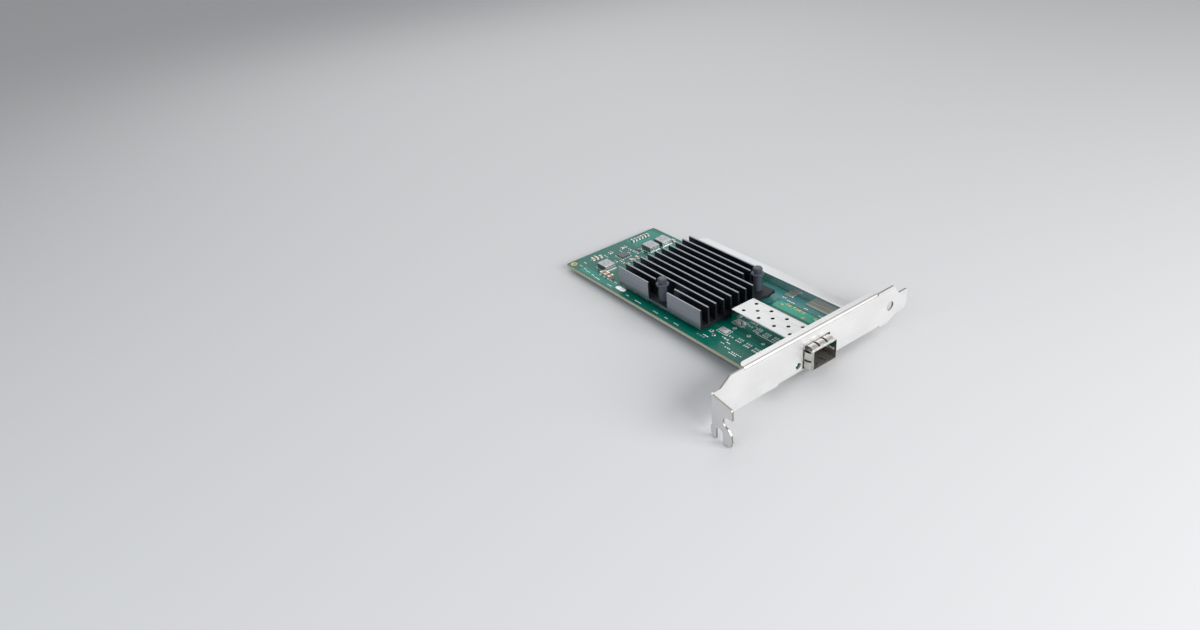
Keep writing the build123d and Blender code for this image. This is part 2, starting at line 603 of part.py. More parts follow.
def push_pin(x, y):
    """A moulded pin: an eight-sided knob on a collar, a thick barrel, and a split, barbed point."""
    barb = -BOARD_T - 0.15
    tip = barb - PUSH_BARB_DROP
    seat = SINK_Z0 + SINK_BASE_T
    collar_top = PUSH_COLLAR_Z + PUSH_COLLAR_T
    points = [
        (0, tip), (0.7, tip), (PUSH_BARB_R, barb - 0.5), (PUSH_BARB_R, barb), (PUSH_SHANK_R, barb),
        (PUSH_SHANK_R, seat), (PUSH_BARREL_R, seat), (PUSH_BARREL_R, PUSH_COLLAR_Z - 0.5),
        (PUSH_COLLAR_R, PUSH_COLLAR_Z), (PUSH_COLLAR_R, collar_top - 0.25),
        (PUSH_COLLAR_R - 0.25, collar_top), (PUSH_NECK_R, collar_top),
        (PUSH_NECK_R, collar_top + 0.6), (0, collar_top + 0.6),
    ]
    pin = revolve(make_face(Plane.XZ * Polyline(*points, close=True)), Axis.Z)
    crown_z = collar_top + 0.5
    knob = extrude(Pos(0, 0, crown_z) * RegularPolygon(PUSH_KNOB_R, PUSH_FLATS), PUSH_KNOB_TOP - crown_z)
    knob = chamfer(knob.edges().group_by(Axis.Z)[-1], 0.45)
    knob = chamfer(knob.edges().group_by(Axis.Z)[0], 0.3)
    split = centred(0, 0, tip - 1, (PUSH_SPLIT_W, 6, PUSH_BARB_DROP + 1.4))
    return Pos(x, y, 0) * (pin + knob - split)


# Rail

def edge_rail():
    """A folded strip on the contact edge: feet on the board, an upright wall and an outward flange."""
    length = RAIL_X1 - RAIL_X0
    wall = box(RAIL_X0, RAIL_X1, -RAIL_T, 0, 0, RAIL_H)
    flange = box(RAIL_X0, RAIL_X1, -RAIL_DEPTH, 0, RAIL_H - RAIL_T, RAIL_H)
    flange = chamfer(flange.edges().filter_by(Axis.Z).group_by(Axis.Y)[0].sort_by(Axis.X)[-1:], RAIL_CORNER)
    rail = wall + flange
    crest = rail.edges().filter_by(Axis.X).group_by(Axis.Y)[-1].sort_by(Axis.Z)[-1:]
    rail = fillet(crest, RAIL_BEND_R + RAIL_T / 2)
    for x0, run in RAIL_FEET:
        rail += box(x0, x0 + run, -RAIL_T, RAIL_FOOT_W, 0, RAIL_T / 2)
    return rail


# Small parts on the board

def inductor(x, y):
    """A moulded power inductor with a clip at each end."""
    lift = 0.15
    body = centred(x, y, lift, COIL_SIZE)
    body = chamfer(body.edges().group_by(Axis.Z)[-1], 0.25)
    for side in (-1, 1):
        body += centred(x + side * (COIL_SIZE[0] / 2 - 0.15), y, 0, (0.5, 3.0, 1.6))
    return body


def chip_part(x, y, length, width, height, along_x):
    """A small ceramic part with raised metal ends."""
    size = (length, width, height) if along_x else (width, length, height)
    body = centred(x, y, 0.04, (size[0], size[1], size[2] - 0.08))
    cap = length * 0.22
    for side in (-1, 1):
        shift = side * (length - cap) / 2
        place = (x + shift, y) if along_x else (x, y + shift)
        end = (cap, width + 0.06, height) if along_x else (width + 0.06, cap, height)
        body += centred(place[0], place[1], 0, end)
    return body


def leaded_chip(x, y, body, rows, pitch, lead, along_x):
    """A flat package with gull-wing leads down its two long sides."""
    package = centred(x, y, 0.1, body)
    package = chamfer(package.edges().group_by(Axis.Z)[-1], 0.12)
    for i in range(rows):
        shift = (i - (rows - 1) / 2) * pitch
        for side in (-1, 1):
            reach = (body[1] if along_x else body[0]) / 2 + lead / 2 - 0.1
            place = (x + shift, y + side * reach) if along_x else (x + side * reach, y + shift)
            size = (pitch * 0.35, lead, 0.3) if along_x else (lead, pitch * 0.35, 0.3)
            package += centred(place[0], place[1], 0, size)
    return package


def quad_chip(x, y, width, height):
    """A flat leadless package with a pin-one corner and pads showing at its edges."""
    body = centred(x, y, 0.02, (width, width, height - 0.02))
    body = chamfer(body.edges().group_by(Axis.Z)[-1], 0.1)
    for i in range(6):
        shift = (i - 2.5) * 0.65
        body += centred(x + shift, y, 0, (0.3, width + 0.1, 0.2))
        body += centred(x, y + shift, 0, (width + 0.1, 0.3, 0.2))
    return body


def crystal_can(x, y):
    base = centred(x, y, 0, (5.0, 3.2, 0.5))
    lid = centred(x, y, 0.5, (4.5, 2.7, 0.6))
    return base + fillet(lid.edges().group_by(Axis.Z)[-1], 0.2)


# Places of the parts behind the heatsink. X is measured back from the board's end. The upper group is
# measured down from the board's top edge, and the rest is spread over the board's width.
COIL_X = BOARD_END - 19.1
UPPER_COIL_Y = BOARD_WIDTH - 12.75
INDUCTORS = [(COIL_X, y) for y in (UPPER_COIL_Y, BOARD_WIDTH * 0.292, BOARD_WIDTH * 0.148)]
COIL_SIZE = (7.1, 6.5, 2.85)
LARGE_CAP_PITCH = 3.3
LARGE_CAPS = [(BOARD_END - 23.1 - i * LARGE_CAP_PITCH, BOARD_WIDTH - 7.55) for i in range(3)]
ROW_CAP_PITCH = 2.08
ROW_CAPS = [(BOARD_END - 5.2, BOARD_WIDTH * 0.317 - i * ROW_CAP_PITCH) for i in range(6)]
REGULATOR = (BOARD_END - 14.9, BOARD_WIDTH * 0.55)
DRIVER = (BOARD_END - 16.0, BOARD_WIDTH * 0.4)
SMALL_CAPS = [(BOARD_END - back, UPPER_COIL_Y - down) for back, down in ((6.7, 0.1), (7.0, 2.5), (7.1, 5.0))]
SMALL_CAPS += [(BOARD_END - back, BOARD_WIDTH * share) for back, share in
               ((22.4, 0.557), (22.2, 0.491), (21.2, 0.055))]
RESISTORS = [(BOARD_END - back, UPPER_COIL_Y - down) for back, down in
             ((7.2, 10.9), (7.2, 12.3), (21.0, 9.5), (19.2, 9.5), (17.4, 7.5))]
RESISTORS += [(BOARD_END - back, BOARD_WIDTH * share) for back, share in
              ((7.4, 0.472), (7.4, 0.432), (11.8, 0.439), (26.4, 0.432), (26.4, 0.389))]

# Places of the parts beside the cage and under the heatsink
CRYSTAL = (CAGE_REAR - 0.4, CAGE_Y + 12.0)
CRYSTAL_PASSIVES = ((CRYSTAL[0] + 1.0, CRYSTAL[1] + 5.8), (CRYSTAL[0] + 4.2, CRYSTAL[1] + 3.9))
FLASH = (SINK_X0 + 40.9, SINK_Y0 - 3.8)
UNDER_PITCH = (4.0, 6.4)
UNDER_FIRST = ((SINK_X0 + SINK_X1) / 2 - 1.5 * UNDER_PITCH[0], (SINK_Y0 + SINK_Y1) / 2 - UNDER_PITCH[1])
UNDER_CAPS = [(UNDER_FIRST[0] + (i % 4) * UNDER_PITCH[0], UNDER_FIRST[1] + (i // 4) * UNDER_PITCH[1])
              for i in range(12)]


def large_capacitors():
    return group([chip_part(x, y, 3.2, 1.6, 1.6, False) for x, y in LARGE_CAPS])


def row_capacitors():
    return group([chip_part(x, y, 2.0, 1.25, 1.1, True) for x, y in ROW_CAPS])


def small_capacitors():
    return group([chip_part(x, y, 2.0, 1.25, 1.0, True) for x, y in SMALL_CAPS])


def resistors():
    return group([chip_part(x, y, 1.6, 0.8, 0.45, True) for x, y in (*RESISTORS, *CRYSTAL_PASSIVES)])


def underside_capacitors():
    parts = [chip_part(x, y, 1.6, 0.8, 0.7, True) for x, y in UNDER_CAPS]
    return group([Pos(0, 0, -BOARD_T) * mirror(p, about=Plane.XY) for p in parts])


nodes = {
    "board": board(),
    "edge_contacts": contacts(),
    "bracket": bracket(),
    "bracket_screws": bracket_screws(),
    "cage_shell": cage_shell(),
    "cage_floor": cage_floor(),
    "finger_collar": finger_collar(),
    "host_socket": host_socket(),
    "socket_pins": socket_pins(),
    "port_light": led_package(),
    "controller_chip": controller_chip(),
    "thermal_pad": thermal_pad(),
    "heatsink": heatsink(),
    "push_pins": group([push_pin(*PIN_1), push_pin(*PIN_2)]),
    "edge_rail": edge_rail(),
    "inductors": group([inductor(x, y) for x, y in INDUCTORS]),
    "large_capacitors": large_capacitors(),
    "row_capacitors": row_capacitors(),
    "small_capacitors": small_capacitors(),
    "resistors": resistors(),
    "underside_capacitors": underside_capacitors(),
    "regulator_chip": quad_chip(*REGULATOR, 5.0, 0.9),
    "driver_chip": leaded_chip(*DRIVER, (3.0, 1.7, 1.0), 3, 0.95, 0.8, True),
    "flash_chip": leaded_chip(*FLASH, (4.9, 3.9, 1.5), 4, 1.27, 1.1, True),
    "crystal": crystal_can(*CRYSTAL),
}

for name, shape in nodes.items():
    export_step(shape, f"parts/{name}.step")
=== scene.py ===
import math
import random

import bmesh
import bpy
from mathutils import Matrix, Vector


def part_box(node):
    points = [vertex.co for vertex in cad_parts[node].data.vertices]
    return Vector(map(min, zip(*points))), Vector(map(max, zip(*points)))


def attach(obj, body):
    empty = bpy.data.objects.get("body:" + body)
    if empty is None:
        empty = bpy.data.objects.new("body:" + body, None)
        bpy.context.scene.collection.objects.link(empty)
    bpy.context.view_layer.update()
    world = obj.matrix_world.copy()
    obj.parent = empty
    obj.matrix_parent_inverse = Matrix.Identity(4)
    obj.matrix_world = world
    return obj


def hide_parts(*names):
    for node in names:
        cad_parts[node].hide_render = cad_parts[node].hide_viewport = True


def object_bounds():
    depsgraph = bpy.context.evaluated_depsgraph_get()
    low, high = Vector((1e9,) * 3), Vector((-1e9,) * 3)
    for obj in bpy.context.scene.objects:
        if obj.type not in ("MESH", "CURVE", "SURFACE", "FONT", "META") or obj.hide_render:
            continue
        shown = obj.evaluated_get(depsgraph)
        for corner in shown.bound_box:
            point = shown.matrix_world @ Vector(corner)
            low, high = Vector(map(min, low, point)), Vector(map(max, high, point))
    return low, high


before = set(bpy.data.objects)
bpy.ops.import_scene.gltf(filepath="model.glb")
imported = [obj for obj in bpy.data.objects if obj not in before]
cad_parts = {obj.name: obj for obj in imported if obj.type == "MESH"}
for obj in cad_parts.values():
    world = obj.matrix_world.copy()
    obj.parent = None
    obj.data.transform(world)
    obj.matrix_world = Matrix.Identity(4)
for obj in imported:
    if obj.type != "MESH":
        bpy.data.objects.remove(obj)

# %% [markdown]
# # A network card
# This lesson dresses one CAD model: a network card for a computer, with a panel bracket at its front.
# The CAD part already holds every main form at its real size, so nothing here is moved or resized.
# What it lacks is what an eye reads first: soft edges that catch light, plated metal, green mask with
# copper under it, white print, and solder.
# Lengths are metres in the part's own frame, unless a name or a comment says millimetres.

MM = 0.001
cad_low, cad_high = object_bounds()
print("nodes:", len(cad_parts), "size in mm:", [round(v / MM, 1) for v in cad_high - cad_low])

# %% [markdown]
# ## Camera
# The photograph was taken from the tab's side of the bracket, about 31 degrees above the board.
# A camera could be set by eye, but then the shapes never quite meet the picture. Here its place and its
# directions were solved from the corners of the bracket and the board, whose real sizes are known.
# The lens comes from the same solution, in pixels, and is turned into millimetres for the sensor.

# %% Camera
PHOTO_WIDTH = 1200
FOCAL_PX = 871.25
SENSOR = 36.0
EYE_MM = Vector((-204.98, 276.93, 216.62))
LOOK = Vector((0.71557, -0.47104, -0.51584))
RIGHT = Vector((-0.5914, -0.80151, -0.08849))


def in_scene(name, data):
    """A new object in the scene, which holds a camera, a lamp or a mesh."""
    made = bpy.data.objects.new(name, data)
    bpy.context.collection.objects.link(made)
    return made


camera_data = bpy.data.cameras.new("camera")
camera_data.sensor_width = SENSOR
camera_data.lens = FOCAL_PX / PHOTO_WIDTH * SENSOR
camera_data.clip_start = 0.01
camera_data.clip_end = 10
camera = in_scene("camera", camera_data)
up = RIGHT.cross(LOOK).normalized()
turn = Matrix((RIGHT, up, -LOOK)).transposed()
camera.matrix_world = Matrix.Translation(EYE_MM * MM) @ turn.to_4x4()
bpy.context.scene.camera = camera
print("lens in mm:", round(camera_data.lens, 2))

# %% [markdown]
# ## Shader sums
# A finish is a sum of patterns, and a sum is easier to read in one line than as a web of nodes.
# The nodes could be added one by one. A small class adds them from plain arithmetic instead:
# it wraps one socket, and each Python operator adds the Math node of the same meaning.
# The reflected forms let a plain number stand first, as in 1 - mask.

# %% Shader sums
class Wire:
    """A value inside one material's node tree."""

    def __init__(self, tree, socket):
        self.tree = tree
        self.socket = socket

    def output(self, key):
        """Another output of the same node, by its name or number."""
        return Wire(self.tree, self.socket.node.outputs[key])

    def maths(self, operation, *values):
        """A Math node on numbers and wires."""
        node = self.tree.nodes.new("ShaderNodeMath")
        node.operation = operation
        for place, value in zip(node.inputs, values):
            if isinstance(value, Wire):
                self.tree.links.new(value.socket, place)
            else:
                place.default_value = value
        return Wire(self.tree, node.outputs[0])

    def __add__(self, other):
        return self.maths("ADD", self, other)

    def __radd__(self, other):
        return self.maths("ADD", other, self)

    def __sub__(self, other):
        return self.maths("SUBTRACT", self, other)

    def __rsub__(self, other):
        return self.maths("SUBTRACT", other, self)

    def __mul__(self, other):
        return self.maths("MULTIPLY", self, other)

    def __rmul__(self, other):
        return self.maths("MULTIPLY", other, self)

    def __gt__(self, other):
        return self.maths("GREATER_THAN", self, other)

    def __lt__(self, other):
        return self.maths("LESS_THAN", self, other)

    def __abs__(self):
        return self.maths("ABSOLUTE", self)

    def sine(self):
        return self.maths("SINE", self)


print("sums ready")

# %% [markdown]
# ## One way to add a node
# Every other node, in a material or in a Geometry Nodes tree, comes from one function.
# Its settings are set first, because they decide which sockets the node has.

# %% Add a node
def add_node(tree, kind, settings=None, sockets=None):
    """A node with its settings, and then the values or links of its sockets."""
    made = tree.nodes.new(kind)
    for key, value in (settings or {}).items():
        setattr(made, key, value)
    for key, value in (sockets or {}).items():
        if isinstance(value, Wire):
            tree.links.new(value.socket, made.inputs[key])
        else:
            made.inputs[key].default_value = value
    return Wire(tree, made.outputs[0] if made.outputs else None)


print("nodes can be added")

# %% [markdown]
# ## One recipe for each finish
# Every surface has its own finish, and all of them start from the same shader.
# A recipe holds one material and the few nodes that all finishes share: noise, a clamped ramp, a mix
# of two colours, and bump. Patterns read object coordinates, so they stay put when the camera moves.
# What changes over a surface feeds only colour, roughness, coat and bump. Constants stay on the shader.

# %% Recipes
class Recipe:
    """One material: a Principled shader and the patterns that feed it."""

    def __init__(self, name, base, roughness, metallic=0.0, coat=0.0, specular=0.5):
        self.material = bpy.data.materials.new(name)
        self.material.use_nodes = True
        self.tree = self.material.node_tree
        self.shader = self.tree.nodes["Principled BSDF"]
        constants = {"Base Color": (*base, 1), "Roughness": roughness, "Metallic": metallic,
                     "Coat Weight": coat, "Coat Roughness": 0.12, "Specular IOR Level": specular}
        for key, value in constants.items():
            self.shader.inputs[key].default_value = value
        self.material.diffuse_color = (*base, 1)
        self.place = self.node("ShaderNodeTexCoord").output("Object")

    def node(self, kind, settings=None, sockets=None):
        return add_node(self.tree, kind, settings, sockets)

    def parts(self, vector):
        """A vector's X, Y and Z."""
        split = self.node("ShaderNodeSeparateXYZ", sockets={"Vector": vector})
        return [split.output(i) for i in range(3)]

    def place_mm(self):
        return [value * (1 / MM) for value in self.parts(self.place)]

    def normal(self):
        """The surface normal's X, Y and Z."""
        return self.parts(self.node("ShaderNodeNewGeometry").output("Normal"))

    def noise(self, scale, detail, stretch=(1, 1, 1)):
        """Cloudy noise; scale counts the clouds in a metre, and a low stretch draws them out."""
        place = self.node("ShaderNodeVectorMath", {"operation": "MULTIPLY"}, {0: self.place, 1: stretch})
        return self.node("ShaderNodeTexNoise", sockets={"Vector": place, "Scale": scale, "Detail": detail})

    def ramp(self, value, source, target):
        """Maps a value from one range onto another, clamped; a range is a pair of numbers."""
        sockets = {"Value": value, "From Min": source[0], "From Max": source[1],
                   "To Min": target[0], "To Max": target[1]}
        return self.node("ShaderNodeMapRange", sockets=sockets)

    def mix(self, factor, first, second):
        """A colour between two others; sockets 6 and 7 and output 2 are the Mix node's colours."""
        colours = [c if isinstance(c, Wire) else (*c, 1) for c in (first, second)]
        sockets = {0: factor, 6: colours[0], 7: colours[1]}
        return self.node("ShaderNodeMix", {"data_type": "RGBA"}, sockets).output(2)

    def put(self, key, wire):
        self.tree.links.new(wire.socket, self.shader.inputs[key])
        return self

    def bump(self, height, strength, distance_mm):
        sockets = {"Strength": strength, "Distance": distance_mm * MM, "Height": height}
        return self.put("Normal", self.node("ShaderNodeBump", sockets=sockets))


print("recipes ready")

# %% [markdown]
# ## Metals
# The bracket, the springs, the screws and the tinned ends are all plated, each with its own tone.
# Real plating is never one flat grey: it is slightly cloudy, and the rolled sheet under it leaves lines.
# An image of brushed metal would show both, but two noises do it at any scale, one round and one
# drawn out along the way the sheet was rolled. Their strength stays low, because new plating is smooth.

# %% Metals
NOISE = (0.35, 0.65)
WIDE_NOISE = (0.3, 0.7)
SHARE = (0, 1)


def plated(name, tone, roughness, grain, metallic=1.0):
    """Bright plating with a faint cloud and rolling lines; grain is the stretch along X, Y and Z."""
    r = Recipe(name, tone, roughness, metallic=metallic)
    cloud = r.noise(60, 2)
    lines = r.noise(900, 4, grain)
    dark = tuple(c * 0.9 for c in tone)
    r.put("Base Color", r.mix(r.ramp(cloud * 0.6 + lines * 0.4, NOISE, SHARE), dark, tone))
    r.put("Roughness", r.ramp(lines * 0.7 + cloud * 0.3, WIDE_NOISE, (roughness * 0.8, roughness * 1.25)))
    return r.bump(lines, 0.05, 0.02).material


EVEN = (1, 1, 1)
ROLLED_ALONG_Y = (1, 0.04, 1)
nickel = plated("bracket_nickel", (0.68, 0.675, 0.67), 0.36, ROLLED_ALONG_Y, metallic=0.55)
sheared = plated("sheared_edge", (0.36, 0.33, 0.3), 0.4, EVEN)
# Painted shade along the bend's edges, tinted as a brown painted reflection.
fold_shade_metal = plated("fold_line_shade", (0.42, 0.38, 0.35), 0.4, ROLLED_ALONG_Y, metallic=0.6)
spring_metal = plated("spring_sheet", (0.7, 0.68, 0.64), 0.34, EVEN)
screw_metal = plated("screw_zinc", (0.7, 0.71, 0.72), 0.3, EVEN)
tin = plated("tinned_end", (0.82, 0.82, 0.81), 0.3, EVEN, metallic=0.8)
gold = plated("gold_plate", (0.93, 0.68, 0.3), 0.24, EVEN)
print("finishes so far:", len(bpy.data.materials))

# %% [markdown]
# ## The cage's sheet
# The cage is a thin folded sheet. Its side walls are polished and mirror the board, its roof is a little
# rougher, and its inside gets painted shade, a darker tone. Three materials on picked faces could do that.
# One material that reads where it is on the cage is simpler, and has no seam where faces meet.

# %% Cage metal
CAGE_LOW, CAGE_HIGH = (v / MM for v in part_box("cage_shell"))
WALL_MM = 0.25
cage_points = [v.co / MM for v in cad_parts["cage_shell"].data.vertices]
roof_y = [p.y for p in cage_points if p.z > CAGE_HIGH.z - 0.5]
WALL_Y = (min(roof_y), max(roof_y))
print("cage walls at y, in mm:", [round(y, 2) for y in WALL_Y])


def cage_sheet():
    r = Recipe("cage_nickel", (0.76, 0.76, 0.75), 0.18, metallic=1.0)
    x, y, z = r.place_mm()
    middle = sum(WALL_Y) / 2
    reach = (WALL_Y[1] - WALL_Y[0]) / 2 - WALL_MM * 0.7
    inside = (abs(y - middle) < reach) * (z < CAGE_HIGH.z - WALL_MM * 0.7)
    inside = inside * (x > CAGE_LOW.x + 0.1)
    lines = r.noise(900, 4, (0.05, 1, 1))
    outer_tone = r.mix(r.ramp(lines, NOISE, SHARE), (0.6, 0.6, 0.595), (0.68, 0.68, 0.675))
    # Painted shade: the cage's inside gets a darker tone than its outside.
    r.put("Base Color", r.mix(inside, outer_tone, (0.56, 0.54, 0.5)))
    roof = r.normal()[2] > 0.7
    r.put("Roughness", r.ramp(inside * 0.15 + roof * 0.8 + lines * 0.1, (0, 1.2), (0.07, 0.5)))
    return r.bump(lines, 0.05, 0.02).material


cage_metal = cage_sheet()

# %% [markdown]
# ## The rail's sheet
# A folded strip stands along the contact edge. Its wall is a mirror that shows the board in front of it,
# and its top and its two feet are satin, the feet in a darker tone.
# As on the cage, one material tells them apart, by the place along Y and by the normal.

# %% Rail metal
FEET_START_Y = (0.1, 0.3)


def rail_sheet():
    r = Recipe("rail_nickel", (0.9, 0.9, 0.9), 0.1, metallic=0.9)
    foot = r.ramp(r.place_mm()[1], FEET_START_Y, SHARE)
    cloud = r.noise(90, 2)
    wall_tone = r.mix(cloud, (0.56, 0.565, 0.57), (0.63, 0.63, 0.635))
    foot_tone = r.mix(cloud, (0.42, 0.44, 0.36), (0.52, 0.56, 0.5))
    r.put("Base Color", r.mix(foot, wall_tone, foot_tone))
    top = r.normal()[2] > 0.7
    r.put("Roughness", r.ramp(foot + top, SHARE, (0.09, 0.3)))
    return r.bump(cloud, 0.04, 0.02).material


rail_metal = rail_sheet()
print("finishes so far:", len(bpy.data.materials))

# %% [markdown]
# ## Black anodised aluminium
# The heatsink was pressed through a die, which leaves long fine lines along it. Then an acid bath grew a
# clear skin on it that took up black dye, so the metal still shows through as a dark, slate sheen.
# Black paint would need no metallic value and would look flat, so the lines, the pores and the sheen
# are made here. The sawn ends get a second, deeper black, and the grooves get it as painted shade.

# %% Anodised aluminium
def anodised():
    r = Recipe("black_anodised", (0.2, 0.215, 0.245), 0.3, metallic=1.0, coat=0.5)
    die_lines = r.noise(700, 5, (0.02, 1, 1))
    pores = r.noise(4000, 2)
    tone = r.mix(r.ramp(die_lines, WIDE_NOISE, SHARE), (0.22, 0.24, 0.275), (0.28, 0.3, 0.345))
    r.put("Base Color", tone)
    r.put("Roughness", r.ramp(die_lines * 0.6 + pores * 0.4, WIDE_NOISE, (0.26, 0.42)))
    return r.bump(die_lines * 0.7 + pores * 0.3, 0.1, 0.03).material


black_metal = anodised()
# A deeper black: for the heatsink's ends, and as painted shade in its grooves.
ends_and_groove_shade = plated("ends_and_groove_shade", (0.05, 0.055, 0.065), 0.5, EVEN)
print("finishes so far:", len(bpy.data.materials))

# %% [markdown]
# ## Plastics and ceramics
# Pins, packages, coils and capacitors are moulded or fired, which leaves a fine grain that breaks up gloss.
# One function makes them all from a tone and a roughness. The grain is the same size on each, since it
# comes from the material.

# %% Plastics and ceramics
def moulded(name, tone, roughness, coat=0.0):
    r = Recipe(name, tone, roughness, coat=coat)
    grain = r.noise(3500, 3)
    pale = tuple(min(1, c * 1.25 + 0.003) for c in tone)
    r.put("Base Color", r.mix(r.ramp(grain, NOISE, SHARE), tone, pale))
    r.put("Roughness", r.ramp(grain, WIDE_NOISE, (roughness * 0.85, roughness * 1.15)))
    return r.bump(grain, 0.12, 0.02).material


black_plastic = moulded("black_plastic", (0.012, 0.012, 0.013), 0.45)
pin_plastic = moulded("pin_plastic", (0.034, 0.04, 0.052), 0.4, coat=0.1)
package = moulded("chip_package", (0.05, 0.054, 0.065), 0.42, coat=0.2)
ferrite = moulded("ferrite_side", (0.05, 0.055, 0.055), 0.4, coat=0.2)
ferrite_top = moulded("ferrite_top", (0.34, 0.34, 0.36), 0.5)
ink = moulded("part_print", (0.22, 0.2, 0.215), 0.5)
tan_ceramic = moulded("tan_ceramic", (0.45, 0.27, 0.14), 0.4, coat=0.3)
brown_ceramic = moulded("brown_ceramic", (0.2, 0.11, 0.06), 0.4, coat=0.3)
resistor_black = moulded("resistor_body", (0.03, 0.03, 0.034), 0.4)
pad_rubber = moulded("thermal_pad", (0.42, 0.43, 0.45), 0.7)
print_white = moulded("board_print", (0.8, 0.83, 0.81), 0.5)
lens = moulded("light_lens", (0.5, 0.78, 0.66), 0.12, coat=0.8)
print("finishes so far:", len(bpy.data.materials))

# %% [markdown]
# ## Solder mask
# The board is yellowish laminate with copper on it, under a clear green lacquer called solder mask.
# So the green isn't one colour: over a solid copper area it looks greyer, over bare laminate brighter.
# Painting the traces as a pattern would be quick, but they would have no height. Here the mask gets
# several tones, and the copper under it is laid as real, very thin pieces further down.
# The board's cut edge shows cream glass fibre, and the tongue's end has no mask.

# %% Solder mask
MASK_DARK = (0.0, 0.1, 0.072)
MASK_PALE = (0.0, 0.165, 0.125)
MASK_COAT = 0.15
MASK_END_Y = -7.0
WEAVE = 2.2


def mask_shader(name, dark, pale):
    r = Recipe(name, dark, 0.3, coat=MASK_COAT, specular=0.2)
    x, y = r.place_mm()[:2]
    weave = 0.5 + 0.5 * ((x * WEAVE).sine() * (y * WEAVE).sine())
    cloud = r.noise(45, 2)
    tone = r.mix(r.ramp(weave * 0.35 + cloud * 0.65, WIDE_NOISE, SHARE), dark, pale)
    tone = r.mix(y < MASK_END_Y, tone, (0.24, 0.3, 0.12))
    side = abs(r.normal()[2]) < 0.5
    fibre = r.noise(2500, 2, (0.2, 0.2, 3))
    edge = r.mix(r.ramp(fibre, WIDE_NOISE, SHARE), (0.3, 0.29, 0.2), (0.5, 0.48, 0.36))
    r.put("Base Color", r.mix(side, tone, edge))
    r.put("Roughness", r.ramp(side + cloud * 0.1, SHARE, (0.28, 0.7)))
    r.put("Coat Weight", MASK_COAT * (1 - side))
    return r.bump(weave, 0.05, 0.01).material


mask_green = mask_shader("solder_mask", MASK_DARK, tuple(c * 1.12 for c in MASK_DARK))
mask_copper = mask_shader("mask_over_copper", MASK_PALE, tuple(c * 1.1 for c in MASK_PALE))
# Painted sheen: a greyer, paler mask tone for the sheen on the strip beside the contact edge.
mask_painted_sheen = mask_shader("mask_with_painted_sheen", (0.04, 0.16, 0.165), (0.055, 0.18, 0.185))
mask_thin = mask_shader("mask_over_laminate", (0.02, 0.26, 0.18), (0.03, 0.3, 0.21))
print("finishes so far:", len(bpy.data.materials))

# %% [markdown]
# ## From a form to a piece
# Every piece made below ends in the same steps: its form becomes a mesh, its modifiers become plain
# faces, it gets a finish, and it is told to ride with the card. Helpers keep those steps in one place.
# The CAD's own nodes are painted too, so that no piece is ever plain grey.

# %% Finish a piece
def from_form(name, form):
    """A new piece from a bmesh form, which is freed."""
    mesh = bpy.data.meshes.new(name)
    form.to_mesh(mesh)
    form.free()
    return in_scene(name, mesh)


def settle(piece, material):
    """Turns a piece's modifiers into plain mesh, paints it and lets it ride with the part."""
    depsgraph = bpy.context.evaluated_depsgraph_get()
    done = bpy.data.meshes.new_from_object(piece.evaluated_get(depsgraph))
    done.name = piece.name
    piece.modifiers.clear()
    piece.data = done
    done.materials.clear()
    done.materials.append(material)
    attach(piece, "root")


def paint_node(node, material):
    """Gives a CAD node its finish, and leaves its shape alone."""
    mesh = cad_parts[node].data
    mesh.materials.clear()
    mesh.materials.append(material)


print("pieces so far:", len(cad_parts))

# %% [markdown]
# ## Softened copies
# Nothing real has a knife edge: sheet is burred, plastic is moulded with a radius, ceramic is tumbled.
# A CAD solid is all knife edges, and in a render that is what makes it look like a drawing.
# A Bevel modifier could sit on the CAD mesh, but that mesh is loose triangles and must stay as it is.
# So a copy is merged, its flat faces are joined, and its edges are rounded by a tenth of a
# millimetre or so. Weighted normals keep the large faces flat, and the triangles are fixed last.

# %% Softened copies
MERGE = 2e-6
FLAT_ANGLE = math.radians(1)
SHARP_ANGLE = math.radians(35)


def softened(node, width_mm, material, segments=2):
    """A copy of a CAD node with rounded edges, standing for that node."""
    form = bmesh.new()
    form.from_mesh(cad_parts[node].data)
    bmesh.ops.remove_doubles(form, verts=form.verts, dist=MERGE)
    bmesh.ops.recalc_face_normals(form, faces=form.faces)
    bmesh.ops.dissolve_limit(form, angle_limit=FLAT_ANGLE, verts=form.verts, edges=form.edges)
    piece = from_form(node + "_skin", form)
    for polygon in piece.data.polygons:
        polygon.use_smooth = True
    bevel = piece.modifiers.new("round", "BEVEL")
    bevel.width = width_mm * MM
    bevel.segments = segments
    bevel.limit_method = "ANGLE"
    bevel.angle_limit = SHARP_ANGLE
    piece.modifiers.new("weigh", "WEIGHTED_NORMAL")
    split = piece.modifiers.new("split", "TRIANGULATE")
    split.min_vertices = 5
    split.keep_custom_normals = True
    settle(piece, material)
    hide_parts(node)
    paint_node(node, material)
    return piece


heatsink = softened("heatsink", 0.12, black_metal)
softened("edge_rail", 0.1, rail_metal)
softened("cage_shell", 0.05, cage_metal, segments=1)
softened("push_pins", 0.15, pin_plastic)
softened("port_light", 0.12, lens)
bracket = softened("bracket", 0.12, nickel)
print("faces of heatsink and bracket:", len(heatsink.data.polygons), len(bracket.data.polygons))

# %% [markdown]
# ## The bracket's bare edges
# The sheet was plated before it was cut, so its sheared edges are bare and darker. Where the upper flange
# starts and ends its bend, a thin dark brownish line is painted: painted shade beside the bend, with a
# brown painted reflection in it. A texture would need an unwrapping. But each face knows its middle and
# its normal, so a short test picks the right faces.

# %% Bracket edges
def paint_where(piece, material, test):
    """Gives a material to the faces that pass a test of their middle, in millimetres, and their normal."""
    piece.data.materials.append(material)
    picked = [face for face in piece.data.polygons if test(face.center / MM, face.normal)]
    for face in picked:
        face.material_index = len(piece.data.materials) - 1
    return len(picked)


